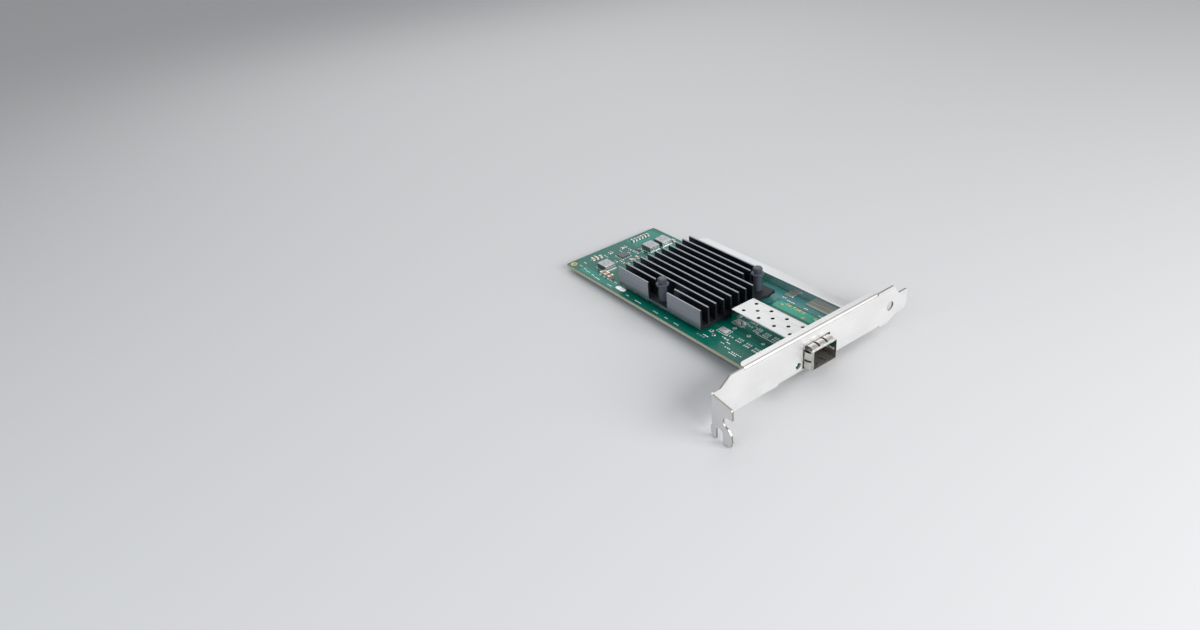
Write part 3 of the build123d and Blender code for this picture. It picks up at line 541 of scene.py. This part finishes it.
BRACKET_LOW, BRACKET_HIGH = (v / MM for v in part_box("bracket"))
FOLD_MM = 1.3
behind_plate = [v.co / MM for v in bracket.data.vertices if v.co.x > 3 * MM]
flange_y = [p.y for p in behind_plate if p.z > BRACKET_HIGH.z - 1]
seat_y = [p.y for p in behind_plate if p.z < 0]


def in_top_fold(p):
    """True in the fold between the plate and the upper flange."""
    return p.z > BRACKET_HIGH.z - FOLD_MM and min(flange_y) < p.y < max(flange_y)


def is_sheared(p, n):
    """True on the sheet's cut edges: on the tab, on the flanges, and then round the plate."""
    if p.x < -0.4:
        return abs(n.y) < 0.5
    if p.x > FOLD_MM:
        return abs(n.z) < 0.5
    in_low_fold = p.z < BRACKET_LOW.z + FOLD_MM and min(seat_y) - 0.2 < p.y < max(seat_y) + 0.2
    in_tab_fold = p.y > BRACKET_HIGH.y - FOLD_MM
    return abs(n.x) < 0.5 and not (in_top_fold(p) or in_low_fold or in_tab_fold)


def is_fold_line(p, n):
    """True on two thin strips where the upper fold begins and ends."""
    return in_top_fold(p) and -0.1 < p.x < FOLD_MM and (0.9 < n.z < 0.998 or 0.9 < -n.x < 0.998)


print("bare faces:", paint_where(bracket, sheared, is_sheared))
print("stretched faces:", paint_where(bracket, fold_shade_metal, is_fold_line))

# %% [markdown]
# ## The heatsink's ends and shaded grooves
# The heatsink's sawn ends get the deeper black, and the faces in its grooves get it as painted shade, for
# the shade that falls between the fins.
# The same way of picking faces finds the ends by their normal, and the grooves by their place.

# %% Ends and shaded grooves
SINK_LOW, SINK_HIGH = (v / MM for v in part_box("heatsink"))


def is_end_or_groove_shade(p, n):
    """True on the heatsink's sawn ends, and in the grooves between its fins, which take painted shade."""
    under_top = p.z < SINK_HIGH.z - 0.3
    in_groove = SINK_LOW.y + 0.5 < p.y < SINK_HIGH.y - 0.5 and under_top and n.z > -0.5
    return abs(n.x) > 0.9 or in_groove or (n.z > 0.9 and under_top)


print("milled faces:", paint_where(heatsink, ends_and_groove_shade, is_end_or_groove_shade))

# %% [markdown]
# ## Cage tangs
# The windows and slots in the cage's side walls are punched on three sides. The tongue of sheet left in
# each one leans a little inwards, so that it presses on a module. Without it a window is a black hole.
# A cube could be bent to shape, but a tongue is only two rings of four points, joined all round.

# %% Cage tangs
TANG_SHEET = 0.2
TANG_INSET = 0.02
TANG_LEAN = 0.3
TANG_GAP = 0.04
LATCH_WINDOW = (3.0, 2.6)
SIDE_SLOT = (5.0, 0.8)
WINDOWS = ((CAGE_HIGH.x - 8.96, 3.0, LATCH_WINDOW), (CAGE_LOW.x + 13.84, 6.4, SIDE_SLOT),
           (CAGE_HIGH.x - 19.96, 6.4, SIDE_SLOT))


def shell(form, first, second):
    """Joins two matching rings of points, in millimetres, into a closed solid."""
    near = [form.verts.new(Vector(point) * MM) for point in first]
    far = [form.verts.new(Vector(point) * MM) for point in second]
    form.faces.new(near[::-1])
    form.faces.new(far)
    for i in range(len(near)):
        j = (i + 1) % len(near)
        form.faces.new((near[i], near[j], far[j], far[i]))


tang_form = bmesh.new()
for x, z, (length, height) in WINDOWS:
    rear = x + length - TANG_GAP
    corners = ((x, TANG_INSET), (rear, TANG_LEAN), (rear, TANG_LEAN + TANG_SHEET),
               (x, TANG_INSET + TANG_SHEET))
    for wall_y, inward in zip(WALL_Y, (1, -1)):
        rings = [[(along, wall_y + inward * depth, level) for along, depth in corners]
                 for level in (z + TANG_GAP, z + height - TANG_GAP)]
        shell(tang_form, *rings)
bmesh.ops.recalc_face_normals(tang_form, faces=tang_form.faces)
settle(from_form("cage_tangs", tang_form), cage_metal)
print("tangs:", len(WINDOWS) * len(WALL_Y))

# %% [markdown]
# ## Small parts
# Dozens of ceramic parts stand on the board, and one CAD node holds all parts of a kind. To paint their
# ends and lay solder, each one must be found again. Its place could be typed in, but then two files
# would hold the same numbers. So the node's mesh is walked from face to face, and every group of
# joined faces, an island, is one part with a box of its own.

# %% Find the islands
def island_boxes(mesh):
    """The lowest and highest corner of each unconnected shell, in millimetres."""
    form = bmesh.new()
    form.from_mesh(mesh)
    bmesh.ops.remove_doubles(form, verts=form.verts, dist=MERGE)
    form.faces.ensure_lookup_table()
    left = set(range(len(form.faces)))
    found = []
    while left:
        stack = [left.pop()]
        corners = []
        while stack:
            face = form.faces[stack.pop()]
            corners += [v.co / MM for v in face.verts]
            fresh = {f.index for e in face.edges for f in e.link_faces} & left
            left -= fresh
            stack.extend(fresh)
        low = Vector([min(c[i] for c in corners) for i in range(3)])
        high = Vector([max(c[i] for c in corners) for i in range(3)])
        found.append((low, high))
    form.free()
    return found


PARTS = {node: island_boxes(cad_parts[node].data) for node in
         ("inductors", "large_capacitors", "row_capacitors", "small_capacitors", "resistors",
          "underside_capacitors")}
print({node: len(boxes) for node, boxes in PARTS.items()})

# %% [markdown]
# ## Tinned ends
# A ceramic part is a coloured body between two caps of tin, and a chip is a dark block on tinned feet.
# The share of the way from a part's middle to its end tells cap from body, whatever the part's size.
# The coils get a paler top, and tin at both ends.

# %% Paint the small parts
CAP_SHARE = 0.52
FOOT_Z = 0.32


def end_share(point, boxes, axis):
    """How far a point lies from its part's middle along an axis, as a share of the half length."""
    for low, high in boxes:
        if all(low[i] - 0.1 <= point[i] <= high[i] + 0.1 for i in (0, 1)):
            return abs(point[axis] - (low[axis] + high[axis]) / 2) / ((high[axis] - low[axis]) / 2)
    return 0


def two_ended(node, body):
    """A softened set of ceramic parts with tinned ends."""
    piece = softened(node, 0.07, body)
    low, high = PARTS[node][0]
    axis = 0 if high.x - low.x > high.y - low.y else 1
    paint_where(piece, tin, lambda p, n: end_share(p, PARTS[node], axis) > CAP_SHARE)


two_ended("large_capacitors", tan_ceramic)
two_ended("row_capacitors", brown_ceramic)
two_ended("small_capacitors", tan_ceramic)
two_ended("resistors", resistor_black)
two_ended("underside_capacitors", tan_ceramic)
coils = softened("inductors", 0.25, ferrite, segments=3)
coil_top = PARTS["inductors"][0][1].z
paint_where(coils, ferrite_top, lambda p, n: n.z > 0.5 and p.z > coil_top - 0.4)
paint_where(coils, tin, lambda p, n: end_share(p, PARTS["inductors"], 0) > 0.96)
for node in ("regulator_chip", "driver_chip", "flash_chip"):
    chip = softened(node, 0.06, package)
    paint_where(chip, tin, lambda p, n: p.z < FOOT_Z)
softened("crystal", 0.1, tin)
print("small parts painted:", sum(len(boxes) for boxes in PARTS.values()))

# %% [markdown]
# ## Pieces that stay as the CAD made them
# The board, the contacts, the screws, the collar and what is inside need no softening, because they
# are thin, hidden or already rounded. They only need a finish in their material slot.

# %% Paint the other nodes
PAINT = {"board": mask_green, "edge_contacts": gold, "bracket_screws": screw_metal,
         "cage_floor": cage_metal, "finger_collar": spring_metal, "host_socket": black_plastic,
         "socket_pins": gold, "controller_chip": package, "thermal_pad": pad_rubber}
for node, material in PAINT.items():
    paint_node(node, material)
print("painted:", len(PAINT))

# %% [markdown]
# ## Flat work on the board
# Copper under the mask, tinned pads and white print are flat shapes a few hundredths of a millimetre
# high. Curves or a texture could draw them. Thin plates are used, because they cast a fine edge of
# light and survive every export. One small class collects the plates of a kind into one piece.

# %% Flat work
BOARD_LOW, BOARD_HIGH = (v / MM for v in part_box("board"))


class Flat:
    """Thin plates on one face of the board, in millimetres."""

    def __init__(self, height, under=False):
        self.form = bmesh.new()
        self.z0, self.z1 = (BOARD_LOW.z - height, BOARD_LOW.z) if under else (0.0, height)

    def plate(self, outline):
        """A plate over a flat outline that runs anticlockwise."""
        shell(self.form, [(x, y, self.z0) for x, y in outline], [(x, y, self.z1) for x, y in outline])

    def patch(self, x0, y0, x1, y1, cut=0.0):
        """A rectangle, with its corners cut by a given length."""
        if cut:
            self.plate([(x0 + cut, y0), (x1 - cut, y0), (x1, y0 + cut), (x1, y1 - cut),
                        (x1 - cut, y1), (x0 + cut, y1), (x0, y1 - cut), (x0, y0 + cut)])
        else:
            self.plate([(x0, y0), (x1, y0), (x1, y1), (x0, y1)])

    def line(self, points, width):
        """A line of even width with square ends."""
        for start, end in zip(points, points[1:]):
            along = (Vector(end) - Vector(start)).normalized() * width / 2
            side = Vector((-along.y, along.x))
            a = Vector(start) - along
            b = Vector(end) + along
            self.plate([a - side, b - side, b + side, a + side])

    def rim(self, x0, y0, x1, y1, width):
        """A rectangle drawn as four lines."""
        for y in (y0, y1):
            self.line([(x0, y), (x1, y)], width)
        for x in (x0, x1):
            self.line([(x, y0 + width), (x, y1 - width)], width)

    def disc(self, x, y, radius, count):
        turns = [2 * math.pi * i / count for i in range(count)]
        self.plate([(x + radius * math.cos(t), y + radius * math.sin(t)) for t in turns])

    def pill(self, x, y, length, width, count=10):
        """A bar with round ends, along X."""
        r = width / 2
        half = length / 2 - r
        turns = [-math.pi / 2 + math.pi * i / count for i in range(count + 1)]
        right = [(x + half + r * math.cos(t), y + r * math.sin(t)) for t in turns]
        left = [(x - half - r * math.cos(t), y - r * math.sin(t)) for t in turns]
        self.plate(right + left)

    def piece(self, name, material, slot):
        print(name, "faces:", len(self.form.faces))
        settle(from_form(name, self.form), material)


print("board in mm:", [round(v, 2) for v in BOARD_HIGH - BOARD_LOW])

# %% [markdown]
# ## Rules for traces
# On such a card a trace climbs from each contact to the controller under the heatsink, and bundles of
# traces run along the board. Drawing each one would take days, and the real routes are mostly hidden.
# So each kind has a rule: evenly spaced lines with one sloping jog. A seeded draw moves the jogs.

# %% Rules for traces
TONGUE_LOW, TONGUE_HIGH = (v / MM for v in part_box("edge_contacts"))
CONTACT_PITCH = 1.0
TRACE_W = 0.22
TRACE_H = 0.02
rng = random.Random(7)


def lanes(flat, reach, lean):
    """Traces from the contact edge, upright for a while and then leaning towards the controller."""
    x = TONGUE_LOW.x + 0.35
    middle = (SINK_LOW.x + SINK_HIGH.x) / 2
    while x < TONGUE_HIGH.x:
        rise = 1.0 + 1.8 * rng.random()
        shift = max(-lean, min(lean, (middle - x) * 0.12))
        flat.line([(x, -1.4), (x, rise), (x + shift, rise + abs(shift)), (x + shift, reach)], TRACE_W)
        x += CONTACT_PITCH


def bundle(flat, x0, x1, y, pitch, count, jog):
    """Side by side traces along X with one sloping jog."""
    bend = (x0 + x1) / 2
    for i in range(count):
        level = y + i * pitch
        flat.line([(x0, level), (bend, level), (bend + abs(jog), level + jog), (x1, level + jog)], TRACE_W)


print("contacts a side:", round((TONGUE_HIGH.x - TONGUE_LOW.x) / CONTACT_PITCH))

# %% [markdown]
# ## Copper on the component side
# The traces under the mask show as slightly raised, paler lines. Wide areas at both ends of each coil,
# and at the board's far end, carry the power. They could be traced point by point, but rectangles
# with cut corners are what a layout program draws, and the coils' own boxes place most of them.

# %% Copper on top
# from x to x, first y, pitch, count, jog
BUNDLES = (
    (CAGE_HIGH.x - 4, SINK_LOW.x + 6, 30.5, 0.6, 6, 1.2),
    (8.0, SINK_LOW.x + 4, 44.2, 0.55, 4, 0.8),
    (14.0, SINK_LOW.x + 4, 18.6, 0.55, 8, -1.4),
    (SINK_HIGH.x - 4, BOARD_HIGH.x - 22, 39.6, 0.6, 5, 1.6),
    (SINK_HIGH.x - 4, BOARD_HIGH.x - 28, 20.6, 0.6, 6, -1.4),
)
# two corners and the cut
POWER_AREAS = (
    (112.0, 55.0, 141.0, 59.6, 0.8),
    (138.5, 3.0, 149.6, 21.6, 1.0),
    (112.0, 2.4, 126.0, 14.0, 1.0),
)
copper = Flat(TRACE_H)
lanes(copper, 9.0, 2.0)
for sizes in BUNDLES:
    bundle(copper, *sizes)
for low, high in PARTS["inductors"]:
    copper.patch(low.x - 1.4, low.y - 0.6, low.x + 1.6, high.y + 0.6, 0.5)
    copper.patch(high.x - 1.6, low.y - 0.6, high.x + 2.4, high.y + 0.6, 0.5)
for area in POWER_AREAS:
    copper.patch(*area)
copper.piece("copper_top", mask_copper, "solder_mask")

# %% [markdown]
# ## Painted sheen and bare laminate
# Beside the contact edge lies a wide greyish strip, a paler grey-teal tone that is painted sheen, and next
# to it a brighter window, where no copper is. Both could be spots in the board's own material. As two very
# thin plates they get clean edges and cut corners, and stay lower than the traces that cross them.

# %% Painted sheen and bare laminate
# These areas carry painted sheen: a greyish tone for light reflected off the mask there.
SHEEN_AREAS = ((6.0, 0.6, 62.0, 7.8, 1.2), (46.6, 7.8, 54.0, 15.0, 1.2))
CLEAR_AREAS = ((9.0, 8.6, 45.4, 14.4, 1.0),)
for name, height, areas, material in (("painted_sheen_area", 0.012, SHEEN_AREAS, mask_painted_sheen),
                                      ("clear_area", 0.014, CLEAR_AREAS, mask_thin)):
    plates = Flat(height)
    for area in areas:
        plates.patch(*area)
    plates.piece(name, material, "solder_mask")

# %% [markdown]
# ## Copper on the solder side
# The underside isn't in the photograph, but the card is looked at from all sides. Nothing there could
# be measured, so the same two rules fill it: lanes, and bundles of three that step across the board.

# %% Copper below
POWER_BELOW = ((112.0, 4.0, 148.0, 22.0, 1.5), (118.0, 40.0, 148.0, 58.0, 1.5))
below = Flat(TRACE_H, under=True)
lanes(below, 20.0, 3.5)
for i in range(9):
    bundle(below, 12.0 + 3 * i, 100.0 + 4 * i, 24.0 + 3.6 * i, 0.6, 3, 0.8 if i % 2 else -0.8)
for area in POWER_BELOW:
    below.patch(*area)
below.piece("copper_below", mask_copper, "solder_mask")

# %% [markdown]
# ## Outlines in print
# White ink outlines the parts for whoever assembles the board, with a dot at a chip's first foot.
# Each outline could be drawn at a typed place. Here it follows the part's own box, so it stays right
# if the part moves. A chip or a coil gets a rim, and a ceramic part a line on both sides.

# %% Print round the parts
PRINT_W = 0.18
marks = Flat(0.03)
for node in ("regulator_chip", "driver_chip", "flash_chip", "crystal"):
    low, high = (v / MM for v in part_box(node))
    marks.rim(low.x - 0.6, low.y - 0.6, high.x + 0.6, high.y + 0.6, PRINT_W)
    marks.disc(low.x - 1.1, high.y + 0.2, 0.28, 12)
for node in ("large_capacitors", "small_capacitors", "resistors"):
    for low, high in PARTS[node]:
        if high.x - low.x > high.y - low.y:
            for y in (low.y - 0.35, high.y + 0.35):
                marks.line([(low.x + 0.3, y), (high.x - 0.3, y)], PRINT_W)
        else:
            for x in (low.x - 0.35, high.x + 0.35):
                marks.line([(x, low.y + 0.3), (x, high.y - 0.3)], PRINT_W)
for low, high in PARTS["inductors"]:
    marks.rim(low.x - 0.4, low.y - 0.4, high.x + 0.4, high.y + 0.4, PRINT_W)
print("plates for outlines:", len(marks.form.faces))

# %% [markdown]
# ## Loose marks in print
# Between the parts lie short rows of plain bars, and a pill beside the heatsink. A texture could hold
# them, but then they would lie in the mask, and ink lies on it. The seeded draw makes bars uneven.

# %% Print between the parts
# x, y and the number of bars in each row
TOP_EDGE = ((62, 58.4, 3), (70, 58.2, 2), (77, 58.4, 3), (90, 58.3, 4), (100, 58.1, 2), (114, 58.2, 3),
            (124, 58.4, 4), (129.8, 57.8, 2), (134, 57.4, 3), (138.4, 56.7, 2), (142.6, 56.2, 2))
FAR_END = ((136, 29.0, 2), (141, 40.2, 3), (134, 43.0, 2), (124, 43.4, 2), (137, 3.2, 3), (126, 36.6, 2),
           (140.6, 31.0, 2), (145.6, 46.4, 2), (143.0, 27.4, 2), (128.0, 31.6, 2), (120.6, 47.0, 2),
           (114.2, 50.2, 2), (121.4, 26.4, 3), (117.0, 41.6, 2))
BESIDE_CAGE = ((38, 6.6, 4), (30, 6.4, 2), (44.2, 5.6, 2), (20.6, 6.9, 2), (14, 12.2, 3), (42, 3.0, 3),
               (39, 50.4, 2), (36, 54.0, 2), (45, 55.2, 3), (14, 53.4, 4), (23.2, 55.9, 5), (25.2, 57.1, 4),
               (30.8, 55.2, 3), (34.0, 52.2, 2), (46.8, 51.2, 2), (52.8, 53.2, 3), (8.6, 56.6, 3))
BAR_PITCH = 1.25
BAR_W = 0.42
for x, y, count in TOP_EDGE + FAR_END + BESIDE_CAGE:
    for i in range(count):
        start = x + i * BAR_PITCH
        marks.patch(start, y - BAR_W / 2, start + 0.6 + 0.4 * rng.random(), y + BAR_W / 2)
marks.pill(108.6, 56.4, 7.0, 2.8)
marks.piece("print_top", print_white, "solder_mask")

# %% [markdown]
# ## Pads
# A board is often made for more parts than one version of the card gets, so bare tinned pads wait
# beside the cage and between the parts. They are plates like the print, a little higher and metallic.
# One function lays them in rows, and a test leaves out those that would fall under a part.

# %% Pads
SIX_PADS = ((31.4, 45.6), (26.0, 45.9), (20.6, 46.2))
TWO_PADS = ((36.6, 47.2), (36.6, 50.2), (14.0, 47.0), (14.0, 49.4), (46.0, 56.2), (48.4, 56.2))
SMALL_PADS = ((143.6, 52.4), (146.0, 44.2), (142.4, 36.0), (138.4, 25.0), (118.0, 54.6), (114.6, 54.0),
              (126.4, 45.9), (122.4, 33.4), (131.2, 22.8), (119.6, 29.8), (144.6, 9.4), (115.0, 33.0))
pads = Flat(0.04)


def pad_rows(place, columns, rows, pitch, size):
    """Pads in rows, from the first pad's corner."""
    for i in range(columns):
        for j in range(rows):
            x, y = place[0] + i * pitch[0], place[1] + j * pitch[1]
            pads.patch(x, y, x + size[0], y + size[1])


def near_part(x, y, left, right, low_side, high_side):
    """True where a place lies on a small part, or within a distance of it on each side."""
    return any(low.x - left < x < high.x + right and low.y - low_side < y < high.y + high_side
               for boxes in PARTS.values() for low, high in boxes)


for place in SIX_PADS:
    pad_rows(place, 3, 2, (1.25, 1.9), (0.7, 1.2))
for place in TWO_PADS:
    pad_rows(place, 2, 1, (1.6, 0), (0.9, 1.0))
for place in SMALL_PADS:
    if not near_part(*place, 2.4, 0.6, 1.2, 0.6):
        pad_rows(place, 2, 1, (1.2, 0), (0.6, 0.7))
pads.piece("pads_top", tin, "nickel_sheet")

# %% [markdown]
# ## Solder
# When solder melts it climbs a part's tinned end, and sets in a small hollow slope. That bright slope is
# what makes a part look fixed to its board. A bevel can't make it, because it lies outside the part.
# So a wedge is built at both ends of each part, and its face is a quarter of an ellipse.

# %% Solder
SLOPE_STEPS = 4
SIDE_INSET = 0.05


def fillet(form, low, high, axis, reach, height, under=False):
    """Hollow slopes at both ends of a box, along an axis, on either face of the board."""
    base = BOARD_LOW.z if under else 0.0
    rise = -height if under else height
    turns = [math.pi / 2 * i / SLOPE_STEPS for i in range(SLOPE_STEPS + 1)]
    across = 1 - axis
    for foot, outward in ((low[axis], -1), (high[axis], 1)):
        profile = [(foot + outward * reach * (1 - math.sin(t)), base + rise * (1 - math.cos(t)))
                   for t in turns]
        profile.append((foot, base))
        sides = [low[across] + SIDE_INSET, high[across] - SIDE_INSET]
        rings = [[(out, side, z) if axis == 0 else (side, out, z) for out, z in profile] for side in sides]
        shell(form, *rings)


def solder_piece(name, form):
    bmesh.ops.recalc_face_normals(form, faces=form.faces)
    print(name, "faces:", len(form.faces))
    settle(from_form(name, form), tin)


solder = bmesh.new()
for node, reach in (("large_capacitors", 0.45), ("row_capacitors", 0.35), ("small_capacitors", 0.35),
                    ("resistors", 0.25), ("inductors", 0.5)):
    for low, high in PARTS[node]:
        axis = 0 if node == "inductors" or high.x - low.x > high.y - low.y else 1
        fillet(solder, low, high, axis, reach, min(0.6, (high.z - low.z) * 0.55))
solder_piece("solder_top", solder)
solder_under = bmesh.new()
for low, high in PARTS["underside_capacitors"]:
    fillet(solder_under, low, high, 0, 0.3, 0.35, under=True)
solder_piece("solder_below", solder_under)

# %% [markdown]
# ## A tree for plated holes
# Holes through the board carry a metal ring on each side: gold at the test points, tin at the
# cage's legs, and mask over the smallest ones, which join the copper layers.
# They could be joined in a loop, but this is what Geometry Nodes are for. A tree sweeps a small
# section round a circle and sets the ring on every point. Its radius, width and height are inputs.

# %% Ring tree
RING_SIZES = ("Ring Radius", "Ring Width", "Ring Height")


def ring_tree():
    """A node tree that puts a flat ring on each vertex."""
    tree = bpy.data.node_groups.new("rings", "GeometryNodeTree")
    face = tree.interface
    face.new_socket("Geometry", in_out="INPUT", socket_type="NodeSocketGeometry")
    for name in RING_SIZES:
        face.new_socket(name, in_out="INPUT", socket_type="NodeSocketFloat")
    face.new_socket("Material", in_out="INPUT", socket_type="NodeSocketMaterial")
    face.new_socket("Geometry", in_out="OUTPUT", socket_type="NodeSocketGeometry")
    given = add_node(tree, "NodeGroupInput")
    radius, width, height = (given.output(name) for name in RING_SIZES)
    circle = add_node(tree, "GeometryNodeCurvePrimitiveCircle", sockets={"Resolution": 20, "Radius": radius})
    section = add_node(tree, "GeometryNodeCurvePrimitiveQuadrilateral",
                       sockets={"Width": width, "Height": height})
    sweep = add_node(tree, "GeometryNodeCurveToMesh", sockets={"Curve": circle, "Profile Curve": section})
    stand = add_node(tree, "GeometryNodeInstanceOnPoints", sockets={"Points": given, "Instance": sweep})
    real = add_node(tree, "GeometryNodeRealizeInstances", sockets={"Geometry": stand})
    paint = add_node(tree, "GeometryNodeSetMaterial",
                     sockets={"Geometry": real, "Material": given.output("Material")})
    add_node(tree, "NodeGroupOutput", sockets={"Geometry": paint})
    return tree


RINGS = ring_tree()
print("tree nodes:", len(RINGS.nodes))

# %% [markdown]
# ## Test points
# A row of gold-ringed holes lies near the contact edge, where probes touch the finished board.
# A function stands a bare point at every hole and gives it the tree. The sizes go in by each socket's
# identifier, before the piece is first evaluated, and the result is kept as a plain mesh.
# Drilling the board would change the CAD part, so a dark disc in each ring stands for the hole: painted
# shade for its dark inside.

# %% Test points
TEST_HOLES = ((41.9, 10.8), (39.9, 8.9), (38.1, 9.4), (35.1, 9.3), (33.3, 9.6), (31.4, 9.5), (29.2, 9.7),
              (26.5, 13.3), (21.6, 10.1), (20.0, 10.2))


def ring_piece(name, places, z, size, material):
    """Rings as one plain piece; size is a ring's radius, width and height, in millimetres."""
    mesh = bpy.data.meshes.new(name)
    mesh.from_pydata([Vector((x, y, z)) * MM for x, y in places], [], [])
    piece = in_scene(name, mesh)
    scatter = piece.modifiers.new("rings", "NODES")
    scatter.node_group = RINGS
    sockets = {item.name: item.identifier for item in RINGS.interface.items_tree if item.in_out == "INPUT"}
    for label, length in zip(RING_SIZES, size):
        scatter[sockets[label]] = length * MM
    scatter[sockets["Material"]] = material
    settle(piece, material)


def both_faces(names, places, size, material):
    """The same rings on the board's two faces."""
    for name, z in zip(names, (0.0, BOARD_LOW.z)):
        ring_piece(name, places, z, size, material)


both_faces(("test_rings", "test_rings_below"), TEST_HOLES, (0.62, 0.42, 0.06), gold)
# Painted shade: a black disc in each ring for the dark inside of the hole.
hole_dark = Flat(0.012)
for x, y in TEST_HOLES:
    hole_dark.disc(x, y, 0.42, 14)
hole_dark.piece("test_hole_dark", black_plastic, "black_plastic")

# %% [markdown]
# ## Vias, the corner hole and the cage's legs
# Vias are the smallest plated holes, and lie all over a real board with no rule that can be seen.
# So a seeded draw spreads them, and skips the cage and the parts. The corner hole has one wide gold
# ring. The cage's legs are soldered in, and are found as the points of its own mesh that lie deep
# in the board.

# %% Vias, corner and legs
CAGE_MIDDLE_Y = (CAGE_LOW.y + CAGE_HIGH.y) / 2
LEG_DEPTH = -1.0
vias = []
for _ in range(150):
    x, y = 6 + 142 * rng.random(), 3 + 55 * rng.random()
    under_cage = x < CAGE_HIGH.x + 1 and abs(y - CAGE_MIDDLE_Y) < 9
    if not under_cage and not near_part(x, y, 1, 1, 1, 1):
        vias.append((x, y))
both_faces(("vias_top", "vias_below"), vias, (0.28, 0.2, 0.05), mask_copper)
corner = (BOARD_HIGH.x - 3.0, BOARD_HIGH.y - 3.0)
both_faces(("corner_ring", "corner_ring_below"), [corner], (1.5, 0.7, 0.06), gold)
legs = []
for p in cage_points:
    if p.z < LEG_DEPTH and all(math.hypot(p.x - x, p.y - y) > 1.0 for x, y in legs):
        legs.append((p.x, p.y))
both_faces(("leg_rings", "leg_rings_below"), legs, (0.75, 0.45, 0.05), tin)
print("vias:", len(vias), "cage legs:", len(legs))

# %% [markdown]
# ## Coil marks
# Each coil carries a faint printed ring, and a dot that shows where its winding starts.
# The tree for plated holes serves again, with a flatter section and grey ink.

# %% Coil marks
MARK_Z = coil_top + 0.005
coil_middles = [((low.x + high.x) / 2, (low.y + high.y) / 2) for low, high in PARTS["inductors"]]
ring_piece("coil_rings", coil_middles, MARK_Z, (1.5, 0.4, 0.03), ink)
dots = [(x - 2.4, y + 2.2) for x, y in coil_middles]
ring_piece("coil_dots", dots, MARK_Z, (0.2, 0.3, 0.03), ink)
print("coils marked:", len(coil_middles))

# %% [markdown]
# ## Where the card rests
# Lying on a table, the card touches with the screw tab's end, one push pin's point and the board's far
# corner, so it leans by a few degrees. It could be tilted, but it must stay in its own frame, so the
# table is tilted instead. A card rests on the face of its convex hull that lies under its middle.

# %% Resting plane
DOWNWARDS = -0.97


def resting_plane():
    """A point and the upward normal of the plane that carries the card."""
    hull = bmesh.new()
    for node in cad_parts.values():
        hull.from_mesh(node.data)
    middle = sum((v.co for v in hull.verts), Vector()) / len(hull.verts)
    made = bmesh.ops.convex_hull(hull, input=hull.verts)
    best = None
    for face in [part for part in made["geom"] if isinstance(part, bmesh.types.BMFace)]:
        normal = face.normal
        if (face.calc_center_median() - middle).dot(normal) < 0:
            normal = -normal
        if normal.z > DOWNWARDS:
            continue
        corners = [v.co for v in face.verts]
        foot = middle + normal * (corners[0] - middle).dot(normal)
        turns = [(b - a).cross(foot - a).dot(normal) for a, b in zip(corners, corners[1:] + corners[:1])]
        if all(t >= 0 for t in turns) or all(t <= 0 for t in turns):
            best = (corners[0].copy(), -normal)
    hull.free()
    return best


floor_point, floor_up = resting_plane()
print("floor tilt in degrees:", round(math.degrees(floor_up.angle(Vector((0, 0, 1)))), 2))

# %% [markdown]
# ## Floor
# The table is one flat square in that plane. A curved backdrop would suit one view, but a flat floor
# looks the same from all sides. It isn't attached to the card's body, so it isn't part of the card.

# %% Floor
FLOOR_HALF = 3.0
side_a = floor_up.cross(Vector((0, 1, 0))).normalized()
side_b = floor_up.cross(side_a).normalized()
middle = Vector(((cad_low.x + cad_high.x) / 2, (cad_low.y + cad_high.y) / 2, 0))
middle -= floor_up * (middle - floor_point).dot(floor_up)
quarters = ((-1, -1), (1, -1), (1, 1), (-1, 1))
corners = [middle + side_a * FLOOR_HALF * i + side_b * FLOOR_HALF * j for i, j in quarters]
floor_mesh = bpy.data.meshes.new("floor")
floor_mesh.from_pydata(corners, [], [(0, 1, 2, 3)])
floor_mesh.materials.append(Recipe("floor_paint", (0.5, 0.5, 0.505), 0.7).material)
in_scene("floor", floor_mesh)
print("floor side in metres:", FLOOR_HALF * 2)

# %% [markdown]
# ## Light
# Polished sheet shows its surroundings more than itself, so large soft panels matter more than strong ones.
# A broad one behind and above gives the sheen on the board and the cage's roof. One high on the left,
# slightly blue, lights the heatsink's long side. The strongest stands in front, for the bracket's face.
# The powers are set so that a colour renders about as it is written.

# %% Light
def panel(name, place_mm, aim_mm, size_mm, watts, tone=(1, 1, 1)):
    """A rectangular lamp at a place, turned to an aim."""
    data = bpy.data.lights.new(name, "AREA")
    data.shape = "RECTANGLE"
    data.size = size_mm[0] * MM
    data.size_y = size_mm[1] * MM
    data.energy = watts
    data.color = tone
    lamp = in_scene(name, data)
    lamp.location = Vector(place_mm) * MM
    lamp.rotation_mode = "QUATERNION"
    lamp.rotation_quaternion = (Vector(aim_mm) * MM - lamp.location).to_track_quat("-Z", "Y")


panel("overhead", (430, -110, 430), (60, 30, 0), (650, 600), 1.2)
panel("left", (0, 560, 420), (60, 120, 0), (500, 400), 1.2, (0.88, 0.94, 1.0))
panel("front", (-640, -60, 350), (0, 30, 0), (700, 420), 8.2)
world = bpy.data.worlds.new("world")
world.use_nodes = True
backdrop = world.node_tree.nodes["Background"]
backdrop.inputs["Color"].default_value = (0.95, 0.97, 1.0, 1)
backdrop.inputs["Strength"].default_value = 0.5
bpy.context.scene.world = world
bpy.context.scene.view_settings.view_transform = "Standard"
print("lamps:", len(bpy.data.lights))
